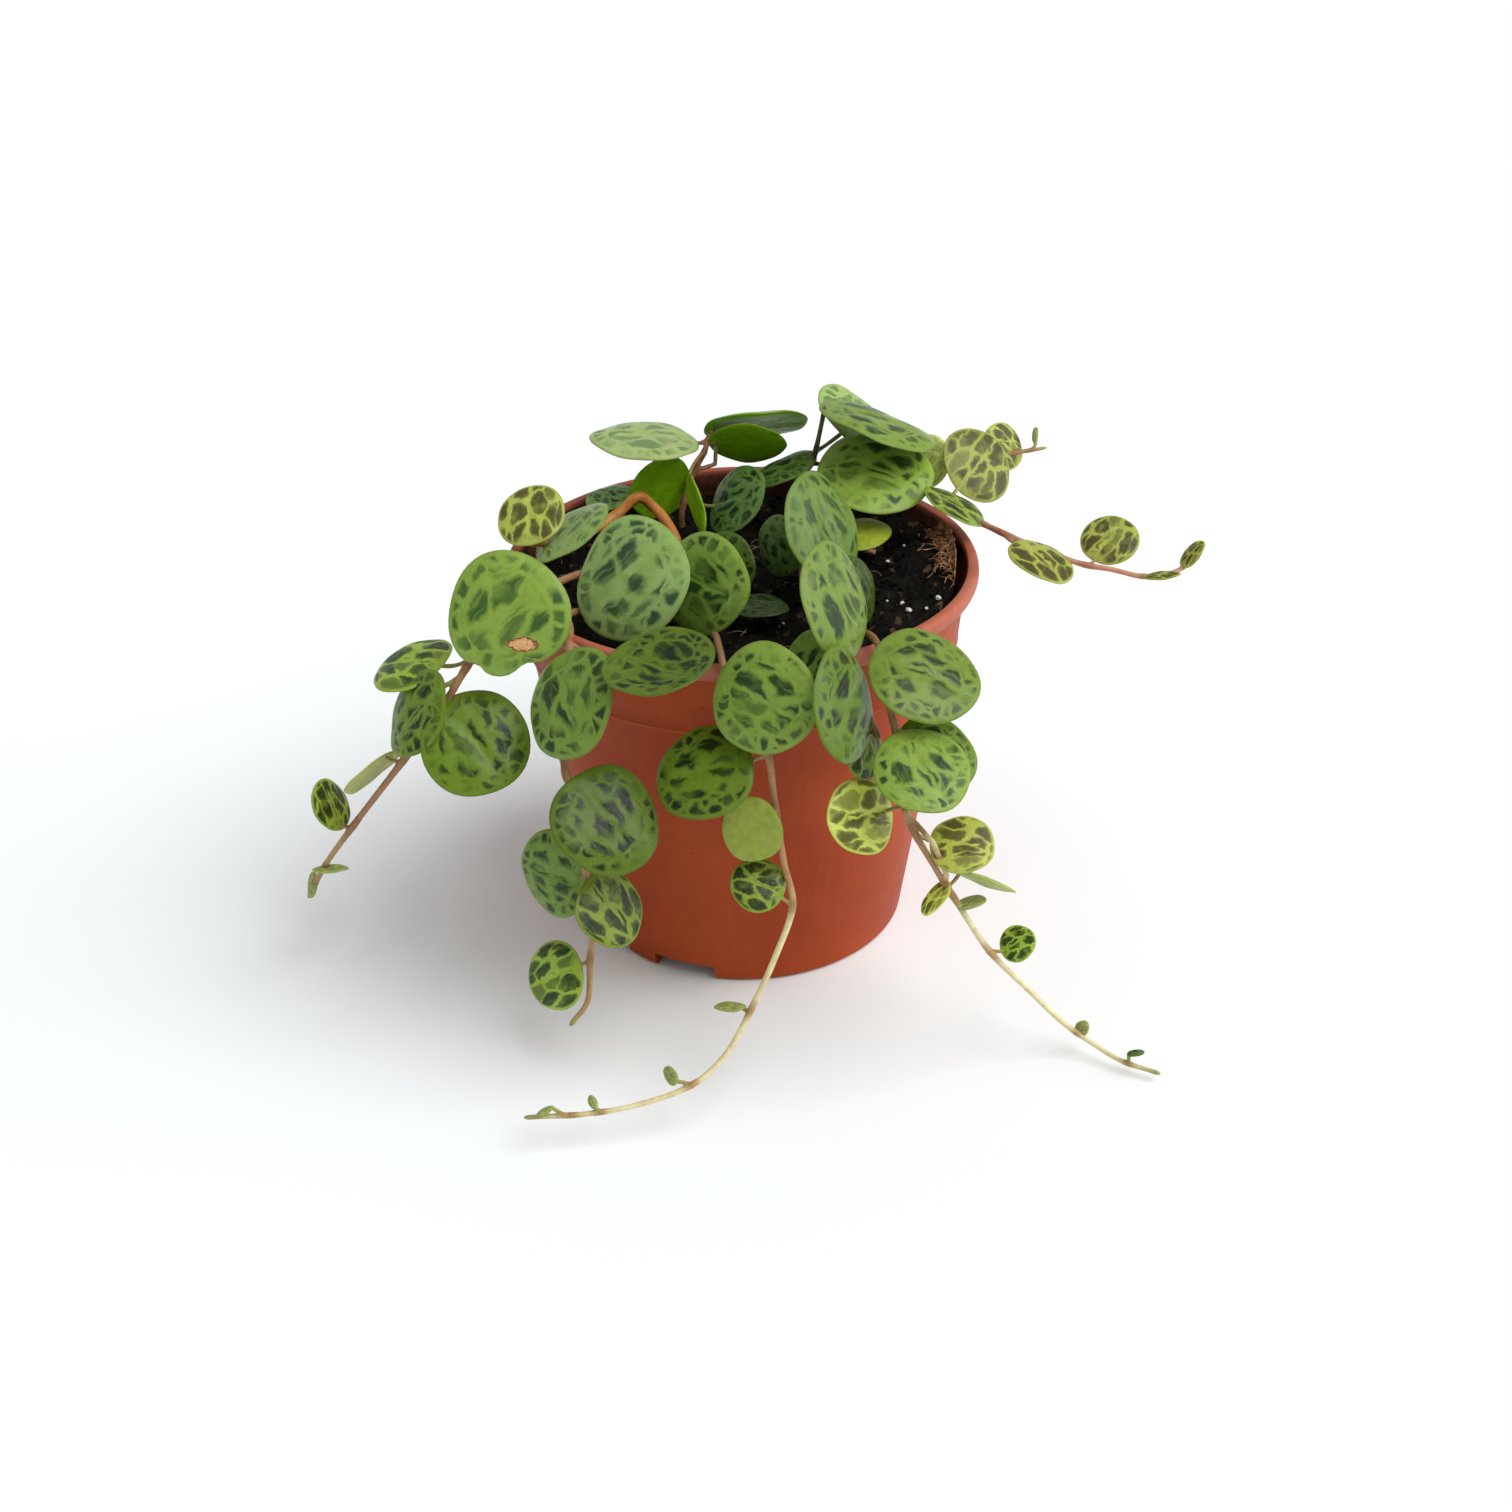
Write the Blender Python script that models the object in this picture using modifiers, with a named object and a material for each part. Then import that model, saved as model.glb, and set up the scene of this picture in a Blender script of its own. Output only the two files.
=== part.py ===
"""A trailing round-leaved plant in a small tapered pot: pot, soil and one fused piece per leafy stem.

The origin is the middle of the pot's underside, +Z is up and -Y is the front.
Tables hold millimetres and degrees, and every length is turned into metres by MM.
"""

import math
from dataclasses import dataclass

import bmesh
import bpy
from mathutils import Matrix, Vector

MM = 0.001
MERGE_REACH = 0.01
DOUBLE_REACH = 0.001

# Pot
POT_STEPS = 56
POT_HEIGHT = 50.8
LIP_RADIUS = 30.0
LIP_BOTTOM = 48.8
LIP_ROUND = 0.5
COLLAR_TOP_RADIUS = 28.4
COLLAR_FOOT_RADIUS = 27.6
COLLAR_FOOT = 40.5
STEP_IN = 0.4
STEP_DROP = 0.3
FOOT_RADIUS = 21.2
FOOT_BEVEL = 0.7
FLOOR = 1.2
INNER_TOP_RADIUS = 27.8
INNER_WALL_TOP = 49.6
INNER_WALL_RADIUS = 27.4
INNER_FOOT_RADIUS = 19.9
NOTCH_TURNS = (-149.0, -113.0, 31.0, 67.0)
NOTCH_WIDTH = 8.5
NOTCH_INNER = 17.0
NOTCH_OUTER = 23.0
NOTCH_HEIGHT = 2.2
NOTCH_BELOW = 1.0
TERRACOTTA = (0.52, 0.15, 0.06)
POT_ROUGHNESS = 0.55

# Soil
GAP = 0.3
SOIL_TOP = 48.0
SOIL_RINGS = (27.0, 25.0, 22.0, 18.0, 14.0, 10.0, 6.0, 2.5)
SOIL_EDGE_DROP = 0.6
SOIL_EDGE_RATE = 6.0
SOIL_WAVES = ((0.30, 0.31, 0.27, 0.4), (0.22, 0.62, -0.45, 1.9), (0.14, -0.95, 1.10, 3.1))
PEAT = (0.03, 0.02, 0.015)
PEAT_ROUGHNESS = 0.95

# Stems
STEM_RADIUS = 0.65
STALK_RADIUS = 0.48
STALK_SHARE = 0.35
STALK_REACH = 0.8
STALK_SAG = 0.12
ROOT_FOOT = 42.0
NECK = 49.5
HOLE_SIDES = 8
HOLE_TOP = 52.0
SAMPLES = 2
LAST_STATION = 0.05

# Blades
THICKNESS_RATE = 0.09
THINNEST = 0.8
SHOULDER = 0.6
FLATNESS = 0.35
MARGIN_BAND = 0.01
DOME = 0.07
WAVE = 0.03
WAVES_ROUND = 3
WAVE_STEP = 2.4
EGG = 0.06
LARGE_ACROSS = 9.0
LARGE_SIDES = 16
MIDDLE_SIDES = 12
SMALL_ACROSS = 5.0
SMALL_SIDES = 8
BLADE_RINGS = 4
LEAF_GREEN = (0.12, 0.30, 0.06)
LEAF_ROUGHNESS = 0.45


@dataclass(frozen=True)
class Leaf:
    """A round blade: middle, turn and tilt of its upper face, size, and where its stalk leaves the stem."""

    at: tuple
    turn: float
    tilt: float
    across: float
    station: float
    narrow: float = 1.0
    dome: float = DOME


@dataclass(frozen=True)
class Stem:
    """A stem: its place in the soil, the points that it runs through above, its leaves and side shoots."""

    name: str
    root: tuple
    route: tuple
    leaves: tuple
    shoots: tuple = ()


STEMS = (
    Stem(
        "stem_left_long",
        (-9.0, -5.0),
        (
            (-15.0, -8.5, 53.3),
            (-19.0, -11.5, 54.3),
            (-22.5, -15.0, 54.5),
            (-27.5, -18.5, 53.5),
            (-32.0, -23.0, 48.5),
            (-35.5, -23.5, 43.0),
            (-41.5, -21.0, 34.0),
            (-47.5, -17.5, 25.0),
            (-53.0, -14.0, 16.5),
            (-55.5, -11.5, 12.0),
            (-58.0, -10.5, 7.2),
        ),
        (
            Leaf((-27.3, -22.7, 54.3), -102, 29, 15.0, 3.2),
            Leaf((-40.2, -16.5, 45.0), -166, 70, 10.5, 4.8),
            Leaf((-38.9, -24.0, 42.2), -147, 35, 11.0, 5.1),
            Leaf((-31.5, -27.5, 40.0), -80, 43, 13.0, 6.0),
            Leaf((-46.3, -18.5, 31.0), 138, 39, 9.0, 7.0, 0.8),
            Leaf((-52.6, -14.0, 23.5), -18, 28, 7.0, 8.4),
            Leaf((-54.4, -12.0, 12.5), 113, 80, 5.0, 9.8, 0.45),
            Leaf((-57.5, -10.5, 9.0), -155, 40, 4.3, 10.7, 0.45),
        ),
    ),
    Stem(
        "stem_front_left",
        (-6.0, -9.0),
        (
            (-13.0, -11.5, 50.4),
            (-18.5, -14.0, 50.6),
            (-20.7, -17.0, 51.4),
            (-20.1, -22.0, 52.0),
            (-20.0, -25.5, 51.4),
            (-19.5, -28.5, 47.0),
            (-20.5, -34.5, 41.0),
            (-19.0, -37.0, 37.0),
            (-18.5, -39.0, 31.0),
            (-18.0, -39.0, 22.5),
            (-18.5, -39.5, 17.0),
            (-19.0, -40.0, 11.5),
            (-21.0, -40.5, 8.5),
        ),
        (
            Leaf((-9.0, -33.5, 52.5), -141, 80, 13.0, 4.8, 1.0, -0.2),
            Leaf((-19.7, -32.5, 48.0), -141, 35, 13.5, 4.9),
            Leaf((-15.5, -39.5, 36.5), -61, 43, 13.0, 7.2),
            Leaf((-22.5, -36.5, 27.5), -129, 16, 10.5, 9.4),
            Leaf((-15.5, -40.5, 25.0), -39, 33, 9.5, 9.6),
            Leaf((-23.0, -38.5, 14.0), -127, 24, 8.5, 11.0),
        ),
    ),
    Stem(
        "stem_front_centre",
        (-3.4, -20.5),
        (
            (-3.0, -24.5, 52.2),
            (-2.4, -29.0, 52.4),
            (-1.8, -31.5, 51.2),
            (0.3, -34.0, 48.0),
            (2.8, -36.8, 43.5),
            (3.5, -37.0, 37.5),
            (4.5, -40.0, 31.0),
            (5.5, -41.0, 25.5),
            (3.5, -42.5, 19.5),
            (0.5, -45.0, 13.5),
            (-2.5, -47.5, 9.0),
            (-6.5, -50.0, 6.5),
            (-12.5, -51.5, 5.0),
            (-18.5, -52.5, 4.5),
            (-25.5, -53.0, 4.5),
        ),
        (
            Leaf((2.5, -37.0, 50.5), -114, 23, 12.7, 3.1),
            Leaf((-4.5, -36.5, 41.0), -121, 52, 12.0, 5.0),
            Leaf((1.0, -39.5, 35.0), 70, -20, 7.5, 6.2),
            Leaf((1.5, -41.0, 28.5), -89, 50, 6.5, 8.0),
            Leaf((-2.0, -43.5, 13.0), 124, 72, 4.5, 10.0, 0.5),
            Leaf((-9.0, -49.5, 7.5), -138, 16, 2.6, 12.0, 0.8),
            Leaf((-18.0, -52.0, 5.8), -110, 40, 1.8, 13.8, 0.6),
            Leaf((-23.5, -53.0, 5.4), 150, 60, 2.4, 14.3, 0.5),
        ),
    ),
    Stem(
        "stem_front_right",
        (12.2, -19.5),
        (
            (14.6, -24.0, 52.0),
            (15.8, -28.0, 52.3),
            (16.5, -31.0, 50.8),
            (16.5, -33.0, 48.5),
            (17.5, -35.0, 44.5),
            (18.5, -39.5, 37.0),
            (22.0, -40.5, 30.0),
            (24.5, -39.5, 25.0),
            (29.0, -38.0, 16.5),
            (34.5, -37.0, 9.5),
            (38.5, -37.0, 5.0),
            (42.0, -38.0, 2.6),
            (45.5, -40.5, 1.6),
            (49.5, -42.5, 1.3),
        ),
        (
            Leaf((20.9, -31.5, 50.5), -65, 62, 13.2, 2.6),
            Leaf((20.2, -40.0, 43.0), -80, 62, 11.2, 5.0),
            Leaf((21.9, -36.0, 42.5), -67, 51, 10.2, 4.7),
            Leaf((13.5, -38.5, 36.0), -54, 35, 9.0, 5.9),
            Leaf((25.0, -40.0, 33.0), -99, 59, 7.5, 6.3),
            Leaf((28.0, -38.5, 27.0), 67, 42, 8.0, 7.6, 0.35),
            Leaf((22.0, -40.5, 26.0), -160, 41, 5.0, 7.5, 0.65),
            Leaf((26.5, -38.5, 24.0), 150, 87, 4.0, 7.9, 0.6),
            Leaf((32.5, -36.5, 16.5), -127, 42, 4.6, 9.0),
            Leaf((41.0, -37.0, 3.9), -135, 23, 2.3, 11.5, 0.8),
            Leaf((47.0, -41.0, 3.2), 150, 70, 2.2, 13.2, 0.5),
        ),
        (((18.6, -39.4, 36.8), (21.5, -41.2, 34.0), (23.2, -41.0, 29.5), (23.2, -40.0, 27.5)),),
    ),
    Stem(
        "stem_right_far",
        (9.0, 9.5),
        (
            (15.0, 11.0, 54.6),
            (21.5, 11.5, 54.0),
            (25.0, 12.0, 54.0),
            (28.5, 7.5, 53.2),
            (34.0, 1.5, 52.5),
            (42.0, -1.0, 50.0),
            (47.0, -1.0, 48.8),
            (51.0, -1.0, 47.8),
            (55.0, 0.5, 47.6),
            (57.5, 2.5, 48.0),
        ),
        (
            Leaf((27.5, 6.0, 55.0), -4, 63, 9.0, 4.4, 0.9),
            Leaf((37.5, -4.5, 52.0), -32, 72, 9.0, 4.9, 0.9),
            Leaf((47.0, 2.5, 51.5), -104, 58, 7.5, 6.3),
            Leaf((53.0, -2.0, 48.5), 151, 74, 5.3, 8.0, 0.4),
            Leaf((57.5, 2.0, 49.5), -160, 42, 4.3, 9.6, 0.7),
            Leaf((31.5, 17.0, 56.0), -54, 40, 10.5, 3.6),
        ),
    ),
    Stem(
        "stem_right_back",
        (13.0, 13.0),
        (
            (18.0, 15.0, 54.5),
            (24.0, 17.0, 55.5),
            (31.0, 20.5, 54.5),
            (36.0, 22.5, 55.0),
            (41.0, 24.0, 55.2),
        ),
        (
            Leaf((24.5, 17.8, 56.2), -125, 19, 7.2, 1.6),
            Leaf((35.5, 23.0, 56.0), -49, 31, 6.7, 4.2),
            Leaf((40.0, 26.0, 56.3), -173, 24, 2.8, 4.6, 0.4),
        ),
    ),
    Stem(
        "stem_upright_left",
        (-8.0, 15.0),
        (
            (-6.8, 16.8, 54.0),
            (-4.8, 17.4, 58.0),
            (-4.3, 18.5, 59.5),
        ),
        (
            Leaf((-12.5, 16.5, 60.5), 30, 84, 14.5, 2.8),
            Leaf((2.0, 21.5, 60.5), 99, 54, 14.0, 3.0),
            Leaf((1.0, 18.5, 59.0), 86, 41, 10.5, 2.6),
            Leaf((-10.9, 16.2, 53.6), 120, 5, 9.0, 0.9),
            Leaf((-5.6, 11.0, 53.2), 24, -5, 9.0, 2.0, 0.45),
            Leaf((-0.7, 13.0, 53.2), -152, 40, 10.2, 0.5),
        ),
        (((-6.2, 17.0, 55.5), (-3.4, 18.0, 56.0), (-3.2, 19.0, 59.0), (-3.8, 18.8, 60.5)),),
    ),
    Stem(
        "stem_middle",
        (-5.0, 3.0),
        (
            (-6.0, -3.0, 53.0),
            (-6.0, -7.5, 53.8),
            (-8.0, -11.5, 53.5),
        ),
        (
            Leaf((-13.2, -17.0, 56.0), -122, 33, 15.2, 3.0),
            Leaf((-4.5, -15.5, 54.5), -127, 21, 12.5, 2.4),
            Leaf((-2.0, -6.5, 52.8), -112, 24, 8.0, 1.3),
            Leaf((2.0, -13.0, 50.6), 74, 86, 7.8, 2.0, 0.9),
        ),
    ),
    Stem(
        "stem_left_arched",
        (-8.5, 7.5),
        (
            (-9.8, 10.0, 51.3),
            (-11.5, 11.5, 52.8),
            (-13.5, 10.8, 54.5),
            (-16.5, 9.3, 52.5),
            (-21.5, 3.0, 52.0),
            (-26.5, 0.5, 53.0),
        ),
        (
            Leaf((-21.8, 2.0, 54.0), -175, 62, 12.5, 4.0, 0.85),
            Leaf((-26.6, 2.5, 56.0), -114, 52, 9.0, 6.0),
            Leaf((-17.3, 16.6, 52.2), -143, 82, 7.0, 2.8),
        ),
    ),
    Stem(
        "stem_upright_right",
        (6.0, 15.0),
        (
            (7.5, 14.5, 55.0),
            (9.5, 15.5, 57.5),
            (11.0, 14.5, 65.0),
        ),
        (
            Leaf((18.0, 14.5, 63.0), 18, 70, 16.0, 3.0),
            Leaf((16.4, 25.0, 59.0), -15, 49, 14.0, 2.2),
            Leaf((17.6, 11.5, 57.5), -85, 68, 15.0, 1.9),
            Leaf((5.6, 15.8, 56.3), -176, 67, 9.3, 1.7, 0.9),
        ),
    ),
    Stem(
        "stem_column",
        (9.0, 5.0),
        (
            (8.5, -2.0, 52.0),
            (7.5, -8.0, 51.8),
            (9.0, -18.0, 53.0),
            (10.5, -26.0, 53.3),
            (11.3, -30.5, 51.3),
            (14.0, -32.0, 47.0),
            (15.5, -33.5, 43.5),
        ),
        (
            Leaf((10.3, -5.2, 57.0), -31, 26, 14.5, 1.3),
            Leaf((11.0, -27.5, 58.0), -27, 21, 14.0, 3.9),
            Leaf((11.7, -36.5, 49.4), -25, 19, 13.5, 5.3),
            Leaf((13.6, -15.0, 53.0), -39, 24, 8.5, 2.3),
            Leaf((15.5, 6.0, 51.3), -96, 81, 8.0, 0.4, 0.9),
            Leaf((8.0, -31.5, 52.0), -130, 39, 8.3, 4.7),
            Leaf((14.0, -34.0, 42.0), -38, 27, 7.0, 6.9),
            Leaf((4.8, -2.5, 53.4), -136, 11, 7.9, 0.8),
        ),
        (((9.0, 4.5, 50.3), (13.0, 4.4, 50.6), (17.1, 2.4, 50.0)),),
    ),
    Stem(
        "stem_back",
        (12.0, 19.5),
        (
            (14.0, 24.0, 53.0),
            (16.0, 28.5, 52.0),
            (17.0, 32.0, 47.5),
            (17.5, 33.5, 40.0),
            (17.5, 34.0, 33.0),
        ),
        (
            Leaf((21.0, 35.0, 45.0), 60, 40, 10.0, 2.8),
            Leaf((13.0, 37.0, 42.5), 100, 45, 11.0, 3.4),
            Leaf((21.5, 37.0, 36.5), 50, 35, 9.0, 3.9),
            Leaf((14.5, 37.5, 33.5), 85, 35, 8.0, 4.5),
            Leaf((18.5, 36.5, 28.5), 70, 30, 6.0, 5.0),
        ),
    ),
)


def clear_scene():
    for obj in list(bpy.data.objects):
        bpy.data.objects.remove(obj, do_unlink=True)
    for collection in list(bpy.data.collections):
        bpy.data.collections.remove(collection)


def new_collection(name, parent):
    collection = bpy.data.collections.new(name)
    parent.children.link(collection)
    return collection


def finish(name, colour, roughness):
    material = bpy.data.materials.new(name)
    material.use_nodes = True
    shader = material.node_tree.nodes["Principled BSDF"]
    shader.inputs["Base Color"].default_value = (*colour, 1.0)
    shader.inputs["Roughness"].default_value = roughness
    return material


def mesh_object(name, mesh, collection):
    obj = bpy.data.objects.new(name, mesh)
    collection.objects.link(obj)
    return obj


def applied(obj):
    """Swaps the object's mesh for the one that its modifiers make."""
    graph = bpy.context.evaluated_depsgraph_get()
    mesh = bpy.data.meshes.new_from_object(obj.evaluated_get(graph))
    obj.modifiers.clear()
    obj.data = mesh


def shade_smooth(mesh):
    for polygon in mesh.polygons:
        polygon.use_smooth = True


def hide_cutter(obj):
    obj.hide_render = True
    obj.display_type = "WIRE"


def turned(name, profile, collection):
    """Turns a profile of (radius, height) about Z. Both of its ends lie on the axis."""
    mesh = bpy.data.meshes.new(name)
    points = [(radius * MM, 0.0, height * MM) for radius, height in profile]
    edges = [(i, i + 1) for i in range(len(points) - 1)]
    mesh.from_pydata(points, edges, [])
    obj = mesh_object(name, mesh, collection)
    screw = obj.modifiers.new("Turn", "SCREW")
    screw.axis = "Z"
    screw.angle = math.tau
    screw.steps = POT_STEPS
    screw.render_steps = POT_STEPS
    screw.use_merge_vertices = True
    screw.merge_threshold = MERGE_REACH * MM
    screw.use_smooth_shade = True
    return obj


def build_pot(parts, cutters):
    wall_foot = COLLAR_FOOT - STEP_DROP
    profile = (
        (0.0, FLOOR),
        (INNER_FOOT_RADIUS, FLOOR),
        (INNER_WALL_RADIUS, SOIL_TOP),
        (INNER_TOP_RADIUS, INNER_WALL_TOP),
        (INNER_TOP_RADIUS, POT_HEIGHT - LIP_ROUND),
        (INNER_TOP_RADIUS + LIP_ROUND, POT_HEIGHT),
        (LIP_RADIUS - LIP_ROUND, POT_HEIGHT),
        (LIP_RADIUS, POT_HEIGHT - LIP_ROUND),
        (LIP_RADIUS, LIP_BOTTOM + LIP_ROUND / 2),
        (LIP_RADIUS - LIP_ROUND / 2, LIP_BOTTOM),
        (COLLAR_TOP_RADIUS, LIP_BOTTOM),
        (COLLAR_FOOT_RADIUS, COLLAR_FOOT),
        (COLLAR_FOOT_RADIUS - STEP_IN, wall_foot),
        (FOOT_RADIUS, FOOT_BEVEL),
        (FOOT_RADIUS - FOOT_BEVEL, 0.0),
        (0.0, 0.0),
    )
    pot = turned("pot", profile, parts)
    middle = (NOTCH_INNER + NOTCH_OUTER) / 2
    depth = NOTCH_OUTER - NOTCH_INNER
    height = NOTCH_HEIGHT + NOTCH_BELOW
    scale = Matrix.Diagonal((depth * MM, NOTCH_WIDTH * MM, height * MM, 1.0))
    move = Matrix.Translation((middle * MM, 0.0, (height / 2 - NOTCH_BELOW) * MM))
    for index, turn in enumerate(NOTCH_TURNS):
        mesh = bpy.data.meshes.new(f"notch_{index}")
        build = bmesh.new()
        bmesh.ops.create_cube(build, size=1.0)
        build.transform(Matrix.Rotation(math.radians(turn), 4, "Z") @ move @ scale)
        build.to_mesh(mesh)
        build.free()
        hide_cutter(mesh_object(mesh.name, mesh, cutters))
    cut = pot.modifiers.new("Drain notches", "BOOLEAN")
    cut.operation = "DIFFERENCE"
    cut.operand_type = "COLLECTION"
    cut.collection = cutters
    cut.solver = "EXACT"
    pot.data.materials.append(finish("Terracotta plastic", TERRACOTTA, POT_ROUGHNESS))


def soil_height(x, y):
    height = SOIL_TOP
    for size, along_x, along_y, phase in SOIL_WAVES:
        height += size * math.sin(along_x * x + along_y * y + phase)
    return height


def build_soil(parts, cutters):
    foot = FLOOR + GAP
    profile = [(0.0, SOIL_TOP)]
    profile += [(radius, SOIL_TOP) for radius in reversed(SOIL_RINGS)]
    profile += [
        (INNER_WALL_RADIUS - GAP, SOIL_TOP - SOIL_EDGE_DROP),
        (INNER_FOOT_RADIUS - GAP, foot),
        (0.0, foot),
    ]
    soil = turned("soil", profile, parts)
    applied(soil)
    for vertex in soil.data.vertices:
        x, y, z = vertex.co / MM
        edge = 1.0 - math.hypot(x, y) / INNER_WALL_RADIUS
        if z > SOIL_TOP - SOIL_EDGE_DROP / 2:
            share = min(1.0, SOIL_EDGE_RATE * edge)
            vertex.co.z = (SOIL_TOP + share * (soil_height(x, y) - SOIL_TOP)) * MM
    radius = (STEM_RADIUS + GAP) / math.cos(math.pi / HOLE_SIDES)
    hole_foot = ROOT_FOOT - GAP
    for stem in STEMS:
        mesh = bpy.data.meshes.new(f"hole_{stem.name}")
        build = bmesh.new()
        bmesh.ops.create_cone(
            build,
            cap_ends=True,
            segments=HOLE_SIDES,
            radius1=radius * MM,
            radius2=radius * MM,
            depth=(HOLE_TOP - hole_foot) * MM,
        )
        middle = (stem.root[0] * MM, stem.root[1] * MM, (HOLE_TOP + hole_foot) / 2 * MM)
        build.transform(Matrix.Translation(middle))
        build.to_mesh(mesh)
        build.free()
        hide_cutter(mesh_object(mesh.name, mesh, cutters))
    cut = soil.modifiers.new("Stem holes", "BOOLEAN")
    cut.operation = "DIFFERENCE"
    cut.operand_type = "COLLECTION"
    cut.collection = cutters
    cut.solver = "EXACT"
    soil.data.materials.append(finish("Potting soil", PEAT, PEAT_ROUGHNESS))


def curve_point(line, place):
    """Point at `place` on the smooth curve through the line's points, its first and last left out."""
    last = len(line) - 3
    index = min(int(place), last - 1)
    t = place - index
    a, b, c, d = line[index : index + 4]
    cubic = 3 * b - a - 3 * c + d
    square = 2 * a - 5 * b + 4 * c - d
    return 0.5 * (2 * b + (c - a) * t + square * t * t + cubic * t * t * t)


def stem_line(stem):
    """The neck and the route, with one point more at each end that sets the direction there."""
    neck = Vector((*stem.root, NECK))
    points = [neck] + [Vector(point) for point in stem.route]
    below = Vector((points[1].x, points[1].y, 2 * NECK - points[1].z))
    beyond = 2 * points[-1] - points[-2]
    return [below, *points, beyond]


def tube(name, points, radius, collection):
    """A six-sided rod along the points, closed at both ends."""
    curve = bpy.data.curves.new(name, "CURVE")
    curve.dimensions = "3D"
    curve.bevel_depth = radius * MM
    curve.bevel_resolution = 1
    curve.use_fill_caps = True
    spline = curve.splines.new("POLY")
    spline.points.add(len(points) - 1)
    for target, point in zip(spline.points, points):
        target.co = (point[0] * MM, point[1] * MM, point[2] * MM, 1.0)
    obj = bpy.data.objects.new(f"{name}_curve", curve)
    collection.objects.link(obj)
    bpy.context.view_layer.update()
    graph = bpy.context.evaluated_depsgraph_get()
    mesh = bpy.data.meshes.new_from_object(obj.evaluated_get(graph))
    mesh.transform(obj.matrix_world)
    mesh.name = name
    bpy.data.objects.remove(obj, do_unlink=True)
    build = bmesh.new()
    build.from_mesh(mesh)
    bmesh.ops.remove_doubles(build, verts=build.verts, dist=DOUBLE_REACH * MM)
    bmesh.ops.recalc_face_normals(build, faces=build.faces)
    build.to_mesh(mesh)
    build.free()
    return mesh_object(name, mesh, collection)


def facing(leaf):
    turn = math.radians(leaf.turn)
    tilt = math.radians(leaf.tilt)
    flat = math.cos(tilt)
    return Vector((flat * math.cos(turn), flat * math.sin(turn), math.sin(tilt)))


def blade_frame(leaf, origin):
    """Direction from the stalk to the tip, direction across, and the upper face's normal."""
    up = facing(leaf)
    towards = origin - Vector(leaf.at)
    towards -= towards.dot(up) * up
    along = -towards.normalized()
    return along, up.cross(along), up


def blade(name, leaf, origin, phase, collection):
    """A thick round blade with a rounded margin, a little domed, waved and egg-shaped."""
    sides = MIDDLE_SIDES
    if leaf.across >= LARGE_ACROSS:
        sides = LARGE_SIDES
    if leaf.across < SMALL_ACROSS:
        sides = SMALL_SIDES
    radius = leaf.across / 2
    half = max(THINNEST, THICKNESS_RATE * leaf.across) / 2
    along, side, up = blade_frame(leaf, origin)
    middle = Vector(leaf.at)
    build = bmesh.new()
    bmesh.ops.create_uvsphere(build, u_segments=sides, v_segments=BLADE_RINGS, radius=1.0)
    for vertex in build.verts:
        x, y, z = vertex.co
        reach = math.hypot(x, y)
        turn = math.atan2(y, x)
        spread = reach**SHOULDER
        lift = half * math.copysign(abs(z) ** FLATNESS, z) if abs(z) > MARGIN_BAND else 0.0
        lift -= leaf.dome * radius * spread * spread
        lift += WAVE * radius * spread * spread * math.cos(WAVES_ROUND * turn + phase)
        forward = radius * spread * math.cos(turn)
        across = radius * spread * math.sin(turn) * leaf.narrow
        across *= 1.0 - EGG * spread * math.cos(turn)
        vertex.co = (middle + forward * along + across * side + lift * up) * MM
    bmesh.ops.triangulate(build, faces=build.faces)
    bmesh.ops.recalc_face_normals(build, faces=build.faces)
    mesh = bpy.data.meshes.new(name)
    build.to_mesh(mesh)
    build.free()
    return mesh_object(name, mesh, collection)


def stalk(name, leaf, origin, collection):
    """A thin rod from the middle of the stem to inside the blade, near its margin."""
    along, _, up = blade_frame(leaf, origin)
    end = Vector(leaf.at) - along * (STALK_REACH * leaf.across / 2)
    length = (end - origin).length
    middle = (origin + end) / 2 - up * (STALK_SAG * length)
    radius = min(STALK_RADIUS, STALK_SHARE * max(THINNEST, THICKNESS_RATE * leaf.across))
    return tube(name, [origin, middle, end], radius, collection)


def build_stem(stem, parts, green):
    line = stem_line(stem)
    spans = len(stem.route)
    points = [Vector((*stem.root, ROOT_FOOT))]
    points += [curve_point(line, step / SAMPLES) for step in range(spans * SAMPLES + 1)]
    obj = tube(stem.name, points, STEM_RADIUS, parts)
    pieces = new_collection(f"pieces_{stem.name}", parts)
    for index, leaf in enumerate(stem.leaves):
        origin = curve_point(line, min(leaf.station, spans - LAST_STATION))
        stalk(f"stalk_{index}", leaf, origin, pieces)
        blade(f"blade_{index}", leaf, origin, WAVE_STEP * index, pieces)
    for index, shoot in enumerate(stem.shoots):
        tube(f"shoot_{index}", shoot, STALK_RADIUS, pieces)
    union = obj.modifiers.new("Leaves", "BOOLEAN")
    union.operation = "UNION"
    union.operand_type = "COLLECTION"
    union.collection = pieces
    union.solver = "EXACT"
    applied(obj)
    for piece in list(pieces.objects):
        bpy.data.objects.remove(piece, do_unlink=True)
    bpy.data.collections.remove(pieces)
    shade_smooth(obj.data)
    obj.data.materials.clear()
    obj.data.materials.append(green)


def main():
    clear_scene()
    scene = bpy.context.scene
    parts = new_collection("potted_peperomia", scene.collection)
    cutters = new_collection("cutters", scene.collection)
    notches = new_collection("notch_cutters", cutters)
    holes = new_collection("hole_cutters", cutters)
    build_pot(parts, notches)
    build_soil(parts, holes)
    green = finish("Leaf green", LEAF_GREEN, LEAF_ROUGHNESS)
    for stem in STEMS:
        build_stem(stem, parts, green)


main()
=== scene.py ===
"""Looks of a trailing plant with round, shell-patterned leaves in a small tapered pot.

Sizes in the tables are millimetres and degrees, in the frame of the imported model: the origin is
the middle of the pot's underside, +Z is up and -Y is the front. MM turns a length into metres, and
points less than LEVEL metres apart count as one. A blade is THICKNESS_RATE times as thick as it is
wide, and THINNEST_BLADE at least. The ages along a stalk start at STALK_AGE.
"""

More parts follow.
